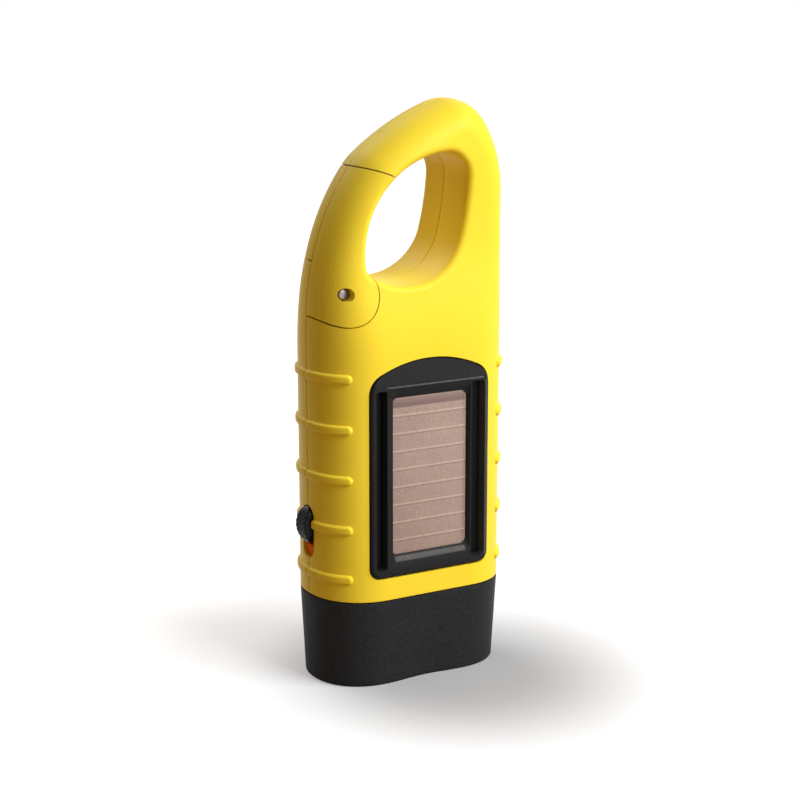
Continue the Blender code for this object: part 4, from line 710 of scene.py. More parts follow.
# %% [markdown]
# The gate turns about a pin near the left edge. On the front it carries a round lobe over the pin, and on
# the back the case keeps a round ear there. Two cutters, a wedge about the pin and a disc on it, part the
# gate from the case with a fine gap that shows as a dark line.
# %% Parting the gate from the case
PIN = np.array((-19.9, 92.6))
PIN_RADIUS, LOBE_RADIUS, EAR_RADIUS, GATE_REACH = 1.25, 7.2, 6.9, 28.3
GATE_SPAN, WEDGE_STEPS, PIN_HOLE_DEPTH = (35.0, 185.0), 120, 7.3
GAP, EAR_GAP = 0.3, 0.6
OVER, FAR = 1.0, 40.0


def front_prism(name, outline, near, far):
    return loft(name, [facing_front(outline, near), facing_front(outline, far)])


def side_prism(name, outline, left, right):
    return loft(name, [facing_side(outline, left), facing_side(outline, right)])


def wedge(reach, near, far):
    outline = np.concatenate([[PIN], ring_of(PIN, reach, WEDGE_STEPS, *GATE_SPAN)])
    return front_prism("wedge", outline, near, far)


def disc(radius, near, far, centre=PIN, count=96):
    return front_prism("disc", ring_of(centre, radius, count), near, far)


gate_front = carve(copy_of(case_front, "gate_front_half"),
                   carve(wedge(GATE_REACH, -FAR, OVER), disc(LOBE_RADIUS, -FAR, OVER), operation="UNION"),
                   operation="INTERSECT")
carve(case_front, wedge(GATE_REACH + GAP, -FAR, OVER), disc(LOBE_RADIUS + GAP, -FAR, OVER))
gate_back = carve(copy_of(case_back, "gate_back_half"),
                  carve(wedge(GATE_REACH, -OVER, FAR), disc(EAR_RADIUS + EAR_GAP, -2 * OVER, FAR + OVER)),
                  operation="INTERSECT")
carve(case_back, carve(wedge(GATE_REACH + GAP, -OVER, FAR), disc(EAR_RADIUS, -2 * OVER, FAR + OVER)))
carve(gate_front, disc(PIN_RADIUS + GAP, -FAR, OVER, count=40))
carve(case_back, disc(PIN_RADIUS + GAP, -OVER, PIN_HOLE_DEPTH, count=40))

# %% [markdown]
# Both halves are hollow. The hollow follows the body two millimetres inside its skin, and leaves bosses for
# the screws and a tray behind the panel.
# %% The hollow, the slot and the screw holes
WALL, CAVITY_TOP = 2.0, 87.4
SLOT_BOTTOM, SLOT_LENGTH, SLOT_WIDTH, SLOT_MIDDLE = 29.7, 12.7, 5.5, 0.45
SCREWS = ((16.0, 25.5), (-16.0, 25.5), (16.5, 79.5), (-16.5, 79.5))
BOSS_RADIUS, BOSS_HOLE, SCREW_RADIUS, SCREW_HEAD, SCREW_RECESS = 2.8, 5.3, 1.1, 2.2, 3.8
FRAME_BACK, TRAY_WALL, TRAY_LOW, TRAY_HIGH = -11.25, 2.0, (-17.5, 24.8), (17.5, 78.8)
HOLLOW_HEIGHTS, THROAT_INSET, WAIST_HALF = (80.0, 84.0), 3.9, 10.5
SLOT_OUT, SLOT_IN = 2.0, 4.0
CRANK_HEIGHT, BUSH_RADIUS = 62.0, 3.7


def oval(half, depth, edge, z, waist=0.0, count=32):
    """Flat faces with round ends. A cosine dip draws the faces in at the middle by the waist."""
    turn = np.linspace(-0.5, 0.5, count + 1) * np.pi
    flat = half - edge
    out, rise = full_turn(turn)
    end = np.stack([flat + edge * out, depth * rise], -1)
    x = flat * (1 - 2 * np.arange(1, count) / count)
    dip = waist * (1 + np.cos(np.pi * np.clip(np.abs(x) / WAIST_HALF, 0, 1))) / 2
    face = np.stack([x, depth - dip], -1)
    return np.insert(np.concatenate([end, face, -end, -face]), 2, z, axis=1)


def body_ring(z, inset):
    return oval(side_half(z) - inset, flat_depth(z, -1) - inset, edge_run(z) - inset, z, count=16)


def hollow():
    heights = (JOINT_HEIGHT + WALL, *HOLLOW_HEIGHTS, CAVITY_TOP)
    made = loft("hollow", [body_ring(z, WALL) for z in heights])
    for place in SCREWS:
        carve(made, disc(BOSS_RADIUS, -FAR, FAR, place, 24))
    tray = rounded_box(TRAY_LOW, TRAY_HIGH, TRAY_WALL)
    carve(made, front_prism("tray", tray, -FAR, FRAME_BACK + TRAY_WALL))
    throat = [body_ring(z, THROAT_INSET) for z in (JOINT_HEIGHT - OVER, JOINT_HEIGHT + WALL + OVER)]
    return carve(made, loft("throat", throat), operation="UNION")


slot_shape = slot_outline(np.array((SLOT_MIDDLE, SLOT_BOTTOM + SLOT_LENGTH / 2)), SLOT_LENGTH, SLOT_WIDTH)
for half in (case_front, case_back):
    carve(half, hollow(), side_prism("slot", slot_shape, -JOINT_HALF - SLOT_OUT, -JOINT_HALF + SLOT_IN))
for place in SCREWS:
    carve(case_front, disc(SCREW_RADIUS + GAP, -BOSS_HOLE, OVER, place, 24))
    carve(case_back, disc(SCREW_RADIUS + GAP, -OVER, FAR, place, 24),
          disc(SCREW_HEAD + GAP, HALF_DEPTH - SCREW_RECESS, FAR, place, 40))
carve(case_back, disc(BUSH_RADIUS + GAP, 0, FAR, (0, CRANK_HEIGHT), 48))

# %% [markdown]
# The panel's frame has straight sides and foot, under a shallow arch. Its outline is also the pocket's in
# the case, a gap wider.
# %% The panel frame's outline
BEZEL_HALF, BEZEL_BOTTOM, BEZEL_SHOULDER, BEZEL_APEX = 15.75, 26.6, 72.5, 77.0
BEZEL_CORNER, SHOULDER_ROUND = 2.5, 5.0


def bezel_outline(inset=0.0, count=8):
    """Round lower corners, then an arch whose radius follows from its span and rise, round shoulders."""
    half, low = BEZEL_HALF - inset, BEZEL_BOTTOM + inset
    corner = BEZEL_CORNER - inset / 2
    shoulder, climb = BEZEL_SHOULDER - inset, BEZEL_APEX - BEZEL_SHOULDER
    radius = (half * half + climb * climb) / (2 * climb)
    centre = shoulder + climb - radius
    small = SHOULDER_ROUND - inset / 2
    shoulder_x = half - small
    shoulder_z = centre + np.sqrt((radius - small) ** 2 - shoulder_x ** 2)
    swing = np.degrees(np.arctan2(shoulder_z - centre, shoulder_x))
    return np.concatenate([
        ring_of((half - corner, low + corner), corner, count, -90, 0),
        ring_of((shoulder_x, shoulder_z), small, count, 0, swing),
        ring_of((0, centre), radius, 40, swing, 180 - swing)[1:-1],
        ring_of((-shoulder_x, shoulder_z), small, count, 180 - swing, 180),
        ring_of((-half + corner, low + corner), corner, count, 180, 270)])


carve(case_front, front_prism("pocket", bezel_outline(-GAP), -FAR, FRAME_BACK + GAP))
settle(case_front, YELLOW, "casing", "yellow_plastic", "front_shell")
settle(case_back, YELLOW, "casing", "yellow_plastic", "back_shell")
settle(gate_front, YELLOW, "gate", "yellow_plastic", "gate_front")
settle(gate_back, YELLOW, "gate", "yellow_plastic", "gate_back")

# %% [markdown]
# The frame stands a little proud of the case. A deep channel runs down each side, a bevel leads down to
# the cell, and above the cell a ridge marks where the arched brow tilts back.
# %% The panel frame
FRAME_PROUD, FRAME_ROUND, BROW_SLOPE, FRAME_BEVEL = 0.3, 0.6, 0.16, 0.12
FRAME_FRONT = -HALF_DEPTH - FRAME_PROUD
CELL_RECESS, CELL_CORNER, BEVEL_LEANS = 0.9, 1.5, (0.25, 0.55, 1.6, 2.3)
CHANNEL_DEPTH, CHANNEL_LEAN, CHANNEL_DRAFT, FLOOR_CORNER, MOUTH_CORNER = 2.0, 0.2, 0.7, 0.5, 0.7
POCKET_BACK, SPREAD_SHARE = 5.0, 1e-4


def round_edge(outline, level, radius, inward, steps=4):
    """Loops over a quarter circle, from a face at a level to the side. Inward is 1 to the back, or -1."""
    return [facing_front(outline(radius * (1 - np.sin(a))), level + inward * radius * (1 - np.cos(a)))
            for a in quarter(steps)]


def rounded_rim(outline, front, back, radius, steps=4):
    """Loops that round the front edge over a quarter circle and then run back."""
    return round_edge(outline, front, radius, 1, steps) + [facing_front(outline(0), back)]


def sloped_box(low, high, corner, front, floor, leans):
    """A pocket whose walls lean out on the way up: left, right, bottom and top."""
    left, right, bottom, top = leans
    loops = [facing_front(rounded_box(low, high, corner), depth) for depth in (POCKET_BACK, floor)]
    wide = rounded_box((low[0] - left, low[1] - bottom), (high[0] + right, high[1] + top), corner)
    return loft("pocket", [*loops, facing_front(wide, front),
                           facing_front(wide + (wide - wide.mean(0)) * SPREAD_SHARE, -FAR)])


bezel = loft("panel_frame", rounded_rim(bezel_outline, FRAME_FRONT, FRAME_BACK, FRAME_ROUND))
cell_low, cell_high = (-CELL_HALF, CELL_BOTTOM), (CELL_HALF, CELL_TOP)
bed = FRAME_FRONT + CELL_RECESS
carve(bezel, sloped_box(cell_low, cell_high, CELL_CORNER, FRAME_FRONT, bed, BEVEL_LEANS))
for left, right in (LEFT_CHANNEL, RIGHT_CHANNEL):
    low = (left + CHANNEL_LEAN, CHANNEL_BOTTOM + CHANNEL_LEAN)
    high = (right - CHANNEL_DRAFT, CHANNEL_TOP - CHANNEL_LEAN)
    mouth = rounded_box((left, CHANNEL_BOTTOM), (right, CHANNEL_TOP), MOUTH_CORNER)
    floor = rounded_box(low, high, FLOOR_CORNER)
    carve(bezel, loft("channel", [facing_front(floor, FRAME_FRONT + CHANNEL_DEPTH),
                                  facing_front(mouth, FRAME_FRONT), facing_front(mouth, -FAR)]))
brow = np.array([(FRAME_FRONT, BROW_HEIGHT), (-FAR, BROW_HEIGHT), (-FAR, CROWN),
                 (FRAME_FRONT + BROW_SLOPE * (CROWN - BROW_HEIGHT), CROWN)])
carve(bezel, side_prism("brow", brow, -FAR, FAR))
settle(bezel, FRAME_BLACK, "casing", "black_plastic", "solar_bezel", bevel=FRAME_BEVEL)

# %% [markdown]
# The cell is a flat plate with its film on the front. It sits in the frame's bed, and only its window
# shows.
# %% The solar cell
CELL_LAP, PLATE_CORNER, PLATE_ROUND = 0.5, 1.2, 0.1


def cell_outline(inset):
    reach = CELL_LAP - inset
    low, high = (-CELL_HALF - reach, CELL_BOTTOM - reach), (CELL_HALF + reach, CELL_TOP + reach)
    return rounded_box(low, high, PLATE_CORNER)


cell = loft("panel_cell", rounded_rim(cell_outline, bed + GAP, FRAME_BACK, PLATE_ROUND, 2))
settle(cell, SOLAR, "casing", "solar_film", "solar_cell")

# %% [markdown]
# The head is one closed ring. Its profile goes down the outside, round the rim that it stands on, up to the
# seat of the lens, and on up the inside, and each point of the profile is carried round an oval that tapers
# to the foot and draws in at its middle.
# %% The lamp head
FOOT_HALF, FOOT_DEPTH, WAIST = 23.7, 12.75, 0.8
RIM_ROUND, HEAD_WALL, LENS_SEAT, LEDGE_TOP, LEDGE = 0.5, 2.0, 2.9, 3.9, 1.5
HEAD_TOP, SIDE_ROWS = HEAD_HIGH[2], 14


def head_ring(z, inset, count=48):
    share = z / JOINT_HEIGHT
    half = FOOT_HALF + (JOINT_HALF - FOOT_HALF) * share - inset
    depth = FOOT_DEPTH + (HALF_DEPTH - FOOT_DEPTH) * share - inset
    return oval(half, depth, BODY_EDGE - inset, z, WAIST * (1 - share), count)


def head_profile():
    """Height and inset along the closed profile, with quarter circles at the rims."""
    turn, small = quarter(5), SEAM_ROUND
    foot_round = np.stack([RIM_ROUND * (1 - np.cos(turn)), RIM_ROUND * (1 - np.sin(turn))], -1)
    top_round = np.stack([HEAD_TOP - small * (1 - np.cos(turn[::-1])), small * (1 - np.sin(turn[::-1]))], -1)
    outside = np.linspace((RIM_ROUND, 0), (HEAD_TOP - small, 0), SIDE_ROWS)[1:-1]
    inside = [(HEAD_TOP, HEAD_WALL), (LEDGE_TOP, HEAD_WALL), (LEDGE_TOP, HEAD_WALL + LEDGE),
              (LENS_SEAT, HEAD_WALL + LEDGE), (LENS_SEAT, HEAD_WALL), (0, HEAD_WALL)]
    return np.concatenate([foot_round, outside, top_round, inside])


head = surface("lamp_head", np.array([head_ring(z, inset) for z, inset in head_profile()]), wrap=(True, True))
settle(head, HEAD_BLACK, "casing", "black_plastic", "head_shell")

# %% [markdown]
# Behind the clear lens three bright cups share one block, each with a lamp in its throat. The cups are
# parabolas turned about the lamps' axes.
# %% Lens, cups and lamps
CUPS = (-13.4, 0.0, 13.4)
CUP_RADIUS, THROAT, CUP_BOTTOM, CUP_HEIGHT = 6.0, 2.9, 4.2, 9.6
LAMP_RADIUS, LAMP_LENGTH, LAMP_BASE, LAMP_FLANGE = 2.5, 5.2, 0.8, 2.9
LENS_LOW, LENS_HIGH, LENS_BEVEL = 1.15, 2.6, 0.15


def turned(name, profile, centre, axis=2, count=48):
    """A profile of (radius, distance along the axis) turned about a line through the centre."""
    radius, along = np.array(profile, float).T
    turn = np.linspace(0, 2 * np.pi, count, endpoint=False)
    grid = np.zeros((len(radius), count, 3))
    grid[..., axis] = along[:, None]
    grid[..., (axis + 1) % 3] = radius[:, None] * np.cos(turn)
    grid[..., (axis + 2) % 3] = radius[:, None] * np.sin(turn)
    return surface(name, grid + np.array(centre), wrap=(False, True))


inside = HEAD_WALL + GAP
lens_rows = ((LENS_LOW, inside + LENS_BEVEL), (LENS_LOW + LENS_BEVEL, inside), (LENS_HIGH, inside))
lens = loft("lens_cover", [head_ring(z, inset) for z, inset in lens_rows])
settle(lens, CLEAR, "casing", "clear_plastic", "lens")
cup_top = CUP_BOTTOM + CUP_HEIGHT
cups = loft("cup_block", [head_ring(z, inside) for z in (CUP_BOTTOM, cup_top)])
share = np.linspace(0, 1, 12)
parabola = np.stack([CUP_RADIUS + (THROAT - CUP_RADIUS) * share ** 2, CUP_BOTTOM + CUP_HEIGHT * share], -1)
cup_profile = np.concatenate([[(CUP_RADIUS, CUP_BOTTOM - OVER)], parabola, [(THROAT, cup_top + OVER)]])
for number, x in enumerate(CUPS, 1):
    carve(cups, turned("cup", cup_profile, (x, 0, 0)))
    base = cup_top + GAP
    dome = quarter(8)[:-1]
    tip = np.stack([LAMP_RADIUS * np.cos(dome), base - LAMP_LENGTH + LAMP_RADIUS * (1 - np.sin(dome))], -1)
    rim_profile = [(LAMP_FLANGE, base + LAMP_BASE), (LAMP_FLANGE, base), (LAMP_RADIUS, base)]
    lamp = turned(f"lamp_{number}", np.concatenate([rim_profile, tip]), (x, 0, 0), count=32)
    settle(lamp, CLEAR, "casing", "clear_plastic", f"led_{number}")
settle(cups, MIRROR, "casing", "bright_film", "reflector")

# %% [markdown]
# The thumb slider is a long dome, pointed at both ends, with slanted grip ridges over its crest and plain
# sides. Its height is a sine along its length, rounded off at the sides.
# %% The thumb slider
SLIDER_LENGTH, SLIDER_HALF, SLIDER_TOP = 8.8, 2.45, 42.1
SLIDER_CREST, SLIDER_SWELL, SLIDER_BASE = 2.25, 0.72, 0.6
SHOULDER_SHARE, SIDE_HEIGHT_SHARE = 0.72, 0.25
RIDGE_PITCH, RIDGE_DEPTH, RIDGE_SLANT, RIDGE_END_SHARE = 1.18, 0.42, 0.85, 0.86
STEM_HALF, STEM_TOP, STEM_LENGTH, STEM_NEAR, STEM_FAR = 0.8, 2.9, 3.0, 0.5, 4.6


def slider_grid(rows=90, columns=44):
    """Half width from the slot's round ends, and height crest * sin(pi v)^swell less the ridges."""
    v = (0.5 - np.cos(np.linspace(0, np.pi, rows)) / 2)[:, None]
    u = np.sin(np.linspace(-1, 1, columns) * np.pi / 2)[None]
    along = (v - 0.5) * SLIDER_LENGTH
    into_end = np.maximum(0, np.abs(along) - (SLIDER_LENGTH / 2 - SLIDER_HALF))
    half = np.sqrt(np.maximum(0, SLIDER_HALF ** 2 - into_end ** 2))
    y = SLOT_MIDDLE + u * half
    z = SLIDER_TOP - SLIDER_LENGTH / 2 + along + 0 * u
    swell = SLIDER_CREST * np.sin(np.pi * v) ** SLIDER_SWELL
    past = np.clip((np.abs(u) - SHOULDER_SHARE) / (1 - SHOULDER_SHARE), 0, 1)
    shoulder = np.sqrt(np.clip(1 - past ** 2, 0, 1))
    wave = (0.5 + 0.5 * np.cos(2 * np.pi * (z + RIDGE_SLANT * y) / RIDGE_PITCH)) ** 1.5
    over_crest = smooth((RIDGE_END_SHARE - np.abs(u)) / 0.1) * smooth(swell / SLIDER_CREST * 2.2 - 0.5)
    rise = swell * (SIDE_HEIGHT_SHARE + (1 - SIDE_HEIGHT_SHARE) * shoulder)
    return np.stack([-JOINT_HALF - rise + RIDGE_DEPTH * wave * over_crest, y, z], -1)


def border(face):
    """Once round a grid: up its first column, along its last row, down its last column and back."""
    return np.concatenate([face[:, 0], face[-1, 1:], face[::-1, -1][1:], face[0, ::-1][1:]])


top_face = slider_grid()
bottom_face = top_face.copy()
bottom_face[..., 0] = -JOINT_HALF + SLIDER_BASE
slider = surface("thumb_slider", top_face, bottom_face, np.stack([border(top_face), border(bottom_face)], 1))
stem_low = (SLOT_MIDDLE - STEM_HALF, SLIDER_TOP - STEM_TOP - STEM_LENGTH)
stem_high = (SLOT_MIDDLE + STEM_HALF, SLIDER_TOP - STEM_TOP)
stem = rounded_box(stem_low, stem_high, 0.2)
carve(slider, side_prism("stem", stem, -JOINT_HALF + STEM_NEAR, -JOINT_HALF + STEM_FAR), operation="UNION")
settle(slider, GRIP_BLACK, "slider", "black_plastic", "switch_slider")

# %% [markdown]
# The gate's pin shows in the lobe's hole as a small steel end with a turned edge.
# %% The gate's pin
PIN_EDGE, PIN_FOOT, PIN_FOOT_EDGE = 0.3, 7.0, 0.1

pin_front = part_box("gate_pin")[0].y / MM - MIDDLE[1]
pin_profile = [(PIN_RADIUS - PIN_EDGE, pin_front), (PIN_RADIUS - 0.08, pin_front + 0.1),
               (PIN_RADIUS, pin_front + PIN_EDGE), (PIN_RADIUS, PIN_FOOT - PIN_FOOT_EDGE),
               (PIN_RADIUS - PIN_FOOT_EDGE, PIN_FOOT)]
pin = turned("hinge_pin", pin_profile, (PIN[0], 0, PIN[1]), axis=1, count=40)
# Its steel is darkened as painted shade of the hole.
settle(pin, SHADED_PIN_STEEL, "casing", "steel", "gate_pin")

# %% [markdown]
# The crank folds flat on the back. Its arm is a long rounded bar with a slot, and the knob lies in that
# slot until it is swung out about the cross pin.
# %% The crank arm
ARM_NEAR, ARM_FAR, ARM_ROUND, ARM_BEVEL = 15.55, 21.35, 1.1, 0.15
FOLD_HEIGHT, KNOB_AXIS, HUB_RADIUS, TIP_RADIUS = 29.0, 19.15, 7.8, 7.9
KNOB_RADIUS, KNOB_LENGTH, KNOB_BASE, FOLD_HOLE = 4.4, 17.0, 3.5, 1.3
ROOM_SIDE, ROOM_UNDER, ROOM_HEIGHT, ROOM_CORNER = 0.6, 4.0, 25.1, 2.2
SHAFT_RADIUS, SHAFT_FLAT, CRANK_SCREW, CRANK_SCREW_RECESS = 2.2, 1.6, 3.6, 1.5


def arm_outline(inset, count=40):
    """Two half circles about the crank's axis and the fold pin, joined by straight sides."""
    return np.concatenate([ring_of((0, CRANK_HEIGHT), HUB_RADIUS - inset, count, 0, 180),
                           ring_of((0, FOLD_HEIGHT), TIP_RADIUS - inset, count, 180, 360)])


arm = loft("fold_arm", round_edge(arm_outline, ARM_NEAR, ARM_ROUND, 1)
           + round_edge(arm_outline, ARM_FAR, ARM_ROUND, -1)[::-1])
room_low = (-KNOB_RADIUS - ROOM_SIDE, FOLD_HEIGHT - ROOM_UNDER)
room_high = (KNOB_RADIUS + ROOM_SIDE, FOLD_HEIGHT - ROOM_UNDER + ROOM_HEIGHT)
flat_half = np.degrees(np.arccos((SHAFT_FLAT + GAP) / (SHAFT_RADIUS + GAP)))
shaft_bore = ring_of((0, CRANK_HEIGHT), SHAFT_RADIUS + GAP, 40, 90 + flat_half, 450 - flat_half)
through = (ARM_NEAR - OVER, ARM_FAR + OVER)
carve(arm, front_prism("room", rounded_box(room_low, room_high, ROOM_CORNER), *through),
      front_prism("bore", shaft_bore, *through),
      disc(CRANK_SCREW + GAP, ARM_FAR - CRANK_SCREW_RECESS, ARM_FAR + OVER, (0, CRANK_HEIGHT), 48),
      turned("pin_hole", [(FOLD_HOLE, -10), (FOLD_HOLE, 10)], (0, KNOB_AXIS, FOLD_HEIGHT), axis=0, count=32))
settle(arm, HEAD_BLACK, "crank", "black_plastic", "crank_arm", bevel=ARM_BEVEL)

# %% [markdown]
# The knob is a slim grip with shallow flutes, a little waisted, that turns on a steel spindle. Its radius
# falls by a cosine at each flute, and follows a soft barrel along its length.
# %% The knob, its spindle and its knuckle
FLUTES, FLUTE_DEPTH, WAISTING, KNOB_ROUND = 8, 0.45, 0.15, 0.9
FLUTE_START, FLUTE_RISE = 0.8, 1.4
SPINDLE_RADIUS, SPINDLE_FOOT, SPINDLE_HEAD, SPINDLE_CAP = 1.1, 1.9, 2.0, 0.2
SPINDLE_HOLE, HEAD_HOLE, HEAD_SINK, HEAD_SEAT = 1.4, 2.3, 1.1, 0.8
KNUCKLE_HALF, KNUCKLE_RADIUS, NECK_RADIUS, NECK_TOP, EDGE = 4.7, 2.7, 3.4, 3.2, 0.2
CROSS_HALF, CROSS_RADIUS, CROSS_EDGE = 7.6, 1.0, 0.15


def knob_grid(rows=40, columns=128):
    """radius - waist * sin(pi v) - flute * (1 - cos(8 theta)) / 2, with round ends."""
    v = (0.5 - np.cos(np.linspace(0, np.pi, rows)) / 2)[:, None]
    theta = np.linspace(0, 2 * np.pi, columns, endpoint=False)[None]
    near_end = np.minimum(v, 1 - v) * KNOB_LENGTH
    ends = np.sqrt(1 - np.clip(1 - near_end / KNOB_ROUND, 0, 1) ** 2)
    fluted = smooth((near_end - FLUTE_START) / FLUTE_RISE)
    radius = KNOB_RADIUS - KNOB_ROUND * (1 - ends) - WAISTING * np.sin(np.pi * v) - FLUTE_DEPTH * fluted * (
        1 - np.cos(FLUTES * theta)) / 2
    z = FOLD_HEIGHT + KNOB_BASE + KNOB_LENGTH * v + 0 * theta
    return np.stack([radius * np.cos(theta), KNOB_AXIS + radius * np.sin(theta), z], -1)


def rod(radius, half, edge):
    """The profile of a rod with its edges broken, from end to end."""
    return [(radius - edge, -half), (radius, edge - half), (radius, half - edge), (radius - edge, half)]


fold = (0, KNOB_AXIS, FOLD_HEIGHT)
knob_end = KNOB_BASE + KNOB_LENGTH
knob = surface("grip_knob", knob_grid(), wrap=(False, True))
carve(knob, turned("bore", [(SPINDLE_HOLE, 0), (SPINDLE_HOLE, knob_end - HEAD_SINK),
                            (HEAD_HOLE, knob_end - HEAD_SINK), (HEAD_HOLE, knob_end + OVER)], fold, count=32))
settle(knob, GRIP_BLACK, "knob", "black_plastic", "crank_knob")
spindle = turned("spindle", [(SPINDLE_RADIUS, SPINDLE_FOOT), (SPINDLE_RADIUS, knob_end - HEAD_SEAT),
                             (SPINDLE_HEAD, knob_end - HEAD_SEAT), (SPINDLE_HEAD, knob_end - SPINDLE_CAP),
                             (SPINDLE_HEAD - SPINDLE_CAP, knob_end)], fold, count=32)
settle(spindle, STEEL, "knob_mount", "steel", "knob_spindle")
knuckle = turned("knuckle", rod(KNUCKLE_RADIUS, KNUCKLE_HALF, EDGE), fold, axis=0, count=48)
neck = [(NECK_RADIUS, 0), (NECK_RADIUS, NECK_TOP - EDGE), (NECK_RADIUS - EDGE, NECK_TOP)]
carve(knuckle, turned("neck", neck, fold, count=48), operation="UNION")
carve(knuckle, turned("pin_hole", [(FOLD_HOLE, -6), (FOLD_HOLE, 6)], fold, axis=0, count=32),
      turned("spindle_hole", [(SPINDLE_HOLE, 0), (SPINDLE_HOLE, 6)], fold, count=32))
settle(knuckle, STEEL, "knob_mount", "steel", "knob_knuckle")
cross_pin = turned("cross_pin", rod(CROSS_RADIUS, CROSS_HALF, CROSS_EDGE), fold, axis=0, count=32)
settle(cross_pin, STEEL, "crank", "steel", "knob_pin")

# %% [markdown]
# The screws have pan heads with a cross recess. The bush that the crank's shaft turns in is brass, with a
# thin flange on the back of the case.
# %% Screws and bush
RIM_SHARE, SLOT_LONG_SHARE, SLOT_WIDE_SHARE, CROSS_REACH = 0.35, 0.62, 0.13, 5.0
CASE_HEAD, CASE_SHANK, CRANK_HEAD, CRANK_SHANK = 1.4, 15.0, 1.2, 5.0
BUSH_FOOT, BUSH_SEAT, FLANGE_RADIUS, FLANGE_EDGE, BUSH_FACE, BUSH_HOLE = 11.3, 14.55, 5.5, 0.2, 15.25, 2.5


def pan_screw(name, place, seat, head, thickness, length, body, node):
    """A shank from below, a flat seat and a domed head whose rim is a third as thick, with a cross recess."""
    dome = quarter(6)
    depth = seat + thickness * RIM_SHARE
    cap = np.stack([head * np.cos(dome), depth + thickness * (1 - RIM_SHARE) * np.sin(dome)], -1)[:-1]
    profile = np.concatenate([[(SCREW_RADIUS, seat - length), (SCREW_RADIUS, seat), (head, seat)], cap])
    screw = turned(name, profile, (place[0], 0, place[1]), axis=1, count=40)
    for wide, tall in ((SLOT_LONG_SHARE, SLOT_WIDE_SHARE), (SLOT_WIDE_SHARE, SLOT_LONG_SHARE)):
        reach = np.array((head * wide, head * tall))
        slot = rounded_box(np.array(place) - reach, np.array(place) + reach, head * 0.06, 3)
        carve(screw, front_prism("cross", slot, depth, seat + CROSS_REACH))
    settle(screw, STEEL, body, "steel", node)


case_seat = HALF_DEPTH - SCREW_RECESS + GAP
for number, place in enumerate(SCREWS, 1):
    pan_screw(f"case_screw_pan_{number}", place, case_seat, SCREW_HEAD, CASE_HEAD, CASE_SHANK, "casing",
              f"case_screw_{number}")
pan_screw("crank_screw_pan", (0, CRANK_HEIGHT), ARM_FAR - CRANK_SCREW_RECESS + GAP, CRANK_SCREW, CRANK_HEAD,
          CRANK_SHANK, "crank", "crank_screw")
bush_profile = [(BUSH_RADIUS, BUSH_FOOT), (BUSH_RADIUS, BUSH_SEAT), (FLANGE_RADIUS, BUSH_SEAT),
                (FLANGE_RADIUS, 15.0), (FLANGE_RADIUS - FLANGE_EDGE, BUSH_FACE)]
bush = turned("crank_bush_ring", bush_profile, (0, 0, CRANK_HEIGHT), axis=1)
carve(bush, turned("bore", [(BUSH_HOLE, 0), (BUSH_HOLE, 20)], (0, 0, CRANK_HEIGHT), axis=1))
settle(bush, BRASS, "casing", "brass", "crank_bush")

# %% [markdown]
# The parts inside keep their solids, and each takes the finish of its real material.
# %% Finishes of the inner parts
INNER = {
    "steel": STEEL, "white_plastic": WHITE, "grey_plastic": GREY, "red_plastic": RED, "brass": BRASS,
    "copper": COPPER, "green_board": BOARD, "black_plastic": HEAD_BLACK, "clear_plastic": CLEAR,
    "yellow_plastic": YELLOW, "bright_film": MIRROR, "solar_film": SOLAR}
for row in frame["record"]["subparts"]:
    node = frame["nodes"][row["node"]]
    node.data.materials.clear()
    node.data.materials.append(INNER[row["material_slot"]])
print(len(frame["nodes"]), "nodes have a finish")

# %% [markdown]
# The photograph was taken with a long lens from the gate's side and a little above. The camera stands
# where that view puts it.
# %% The camera
CAMERA_PLACE = Vector((-0.2155, -0.3669, 0.15675))
AZIMUTH, ELEVATION = np.radians((30.84, 12.32))
LENS = 82.43
level = np.cos(ELEVATION)
looking = Vector((np.sin(AZIMUTH) * level, np.cos(AZIMUTH) * level, -np.sin(ELEVATION)))
camera_data = bpy.data.cameras.new("camera")
camera_data.lens = LENS
camera_data.clip_start = 0.01
camera = bpy.data.objects.new("camera", camera_data)
camera.location = CAMERA_PLACE
camera.rotation_euler = looking.to_track_quat("-Z", "Y").to_euler()
bpy.context.scene.collection.objects.link(camera)
bpy.context.scene.camera = camera

# %% [markdown]
# A pale floor and two soft lamps stand in for the studio. The key lamp stands to the front right, so the
# gate's side falls into shade, and a weak warm sky turns that shade amber. The floor and the sky glow white
# for the camera, and for mirrors and glass, while the object gets only the lamps' light. Round the foot the
# floor's glow sinks to a grey pool, a painted shadow as in the photograph, and the flashlight's own shadow
# falls there too.
# %% The floor
bpy.context.scene.view_settings.view_transform = "Standard"
FLOOR_REACH, GLOW_NEAR, GLOW_MID, GLOW_FAR = 6.0, 0.02, 0.60, 0.40
SHADOW_POOL_ACROSS, SHADOW_POOL_TOWARD, SHADOW_POOL_SIZE = 15.0, 8.0, (42.0, 43.0)
FLOOR_PALE, FLOOR_BOUNCE = (0.51, 0.535, 0.57), (0.38, 0.26, 0.13)


def seen_directly(finish):
    """1 for rays from the camera, off gloss and through glass, 0 for the rays that light a surface."""
    camera_ray, glossy, through = (finish.add("ShaderNodeLightPath", {}, output=f"Is {kind} Ray")
                                   for kind in ("Camera", "Glossy", "Transmission"))
    return (camera_ray + glossy + through).clamp()


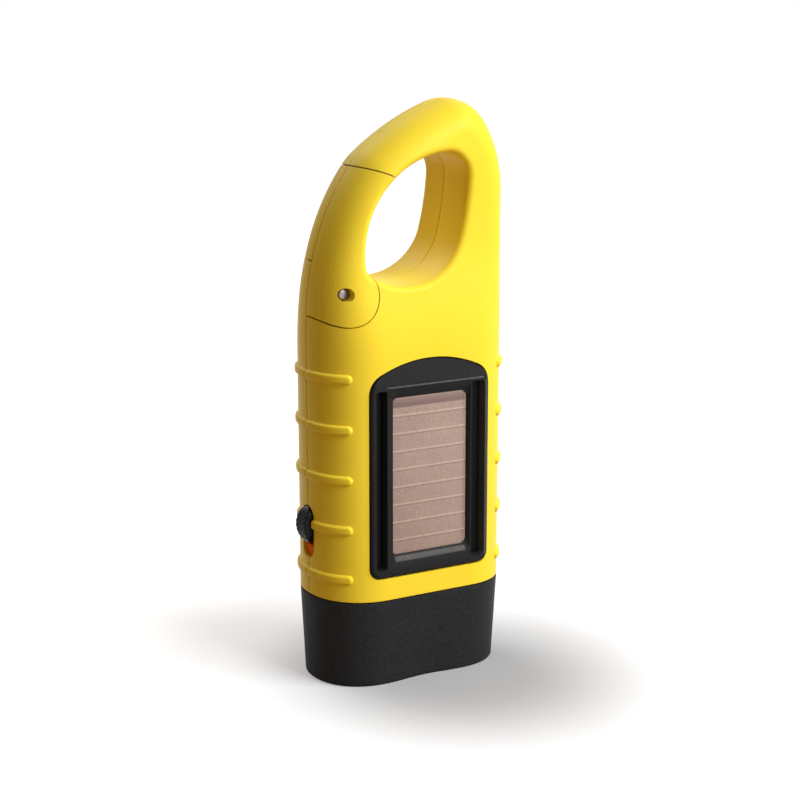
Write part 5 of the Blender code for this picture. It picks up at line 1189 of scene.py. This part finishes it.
def pale_floor():
    """The glow grows with the distance from the painted shadow's middle, measured across the view and towards
    it.
    """
    made = Finish("pale_floor", Roughness=0.9, Specular_IOR_Level=0.1, Emission_Strength=1.0)
    seen = seen_directly(made)
    x, y, _ = made.axes()
    sine, cosine = float(np.sin(AZIMUTH)), float(np.cos(AZIMUTH))
    across = (x * cosine - y * sine - SHADOW_POOL_ACROSS) / SHADOW_POOL_SIZE[0]
    toward = (x * -sine - y * cosine - SHADOW_POOL_TOWARD) / SHADOW_POOL_SIZE[1]
    far = (across * across + toward * toward) ** 0.5
    # Low glow near the foot is a painted shadow, and away from it the glow rises to white.
    glow = GLOW_NEAR + far.band(0.30, 1.45) * GLOW_MID + far.band(1.3, 3.0) * GLOW_FAR
    return made.set(Base_Color=made.tint(seen, FLOOR_BOUNCE, FLOOR_PALE),
                    Emission_Color=made.tint(seen * glow, (0, 0, 0), (1, 1, 1))).material


floor_data = bpy.data.meshes.new("floor")
corners = [(x * FLOOR_REACH, y * FLOOR_REACH, 0) for x, y in ((-1, -1), (1, -1), (1, 1), (-1, 1))]
floor_data.from_pydata(corners, [], [(0, 1, 2, 3)])
floor = bpy.data.objects.new("floor", floor_data)
bpy.context.scene.collection.objects.link(floor)
floor.data.materials.append(pale_floor())

# %% [markdown]
# The sky's nodes are wired by the same class, on the world's own tree. Seen directly it is plain white, and
# as light it is weak and warm.
# %% The sky and the lamps
SKY_LIGHT, SKY_WARM = 0.18, (1.0, 0.64, 0.30)
AIM = Vector((0, 0, 0.07))


class Sky(Finish):
    """The world's background in place of a material's shader."""

    def __init__(self, world):
        world.use_nodes = True
        self.tree = world.node_tree
        self.shader = self.tree.nodes["Background"]


def lamp_panel(name, place, size, power):
    """A square soft lamp that faces the flashlight."""
    data = bpy.data.lights.new(name, "AREA")
    data.size = size
    data.energy = power
    made = bpy.data.objects.new(name, data)
    made.location = place
    made.rotation_euler = (AIM - Vector(place)).to_track_quat("-Z", "Y").to_euler()
    bpy.context.scene.collection.objects.link(made)


world = bpy.data.worlds.new("studio")
bpy.context.scene.world = world
sky = Sky(world)
seen = seen_directly(sky)
sky.set(Color=sky.tint(seen, SKY_WARM, (1, 1, 1)), Strength=SKY_LIGHT + seen * (1 - SKY_LIGHT))
lamp_panel("key", (0.30, -0.55, 0.50), 0.55, 8.0)
lamp_panel("back", (-0.15, 0.75, 0.70), 0.60, 2.6)
print("lamps:", [lamp.name for lamp in bpy.data.lights])
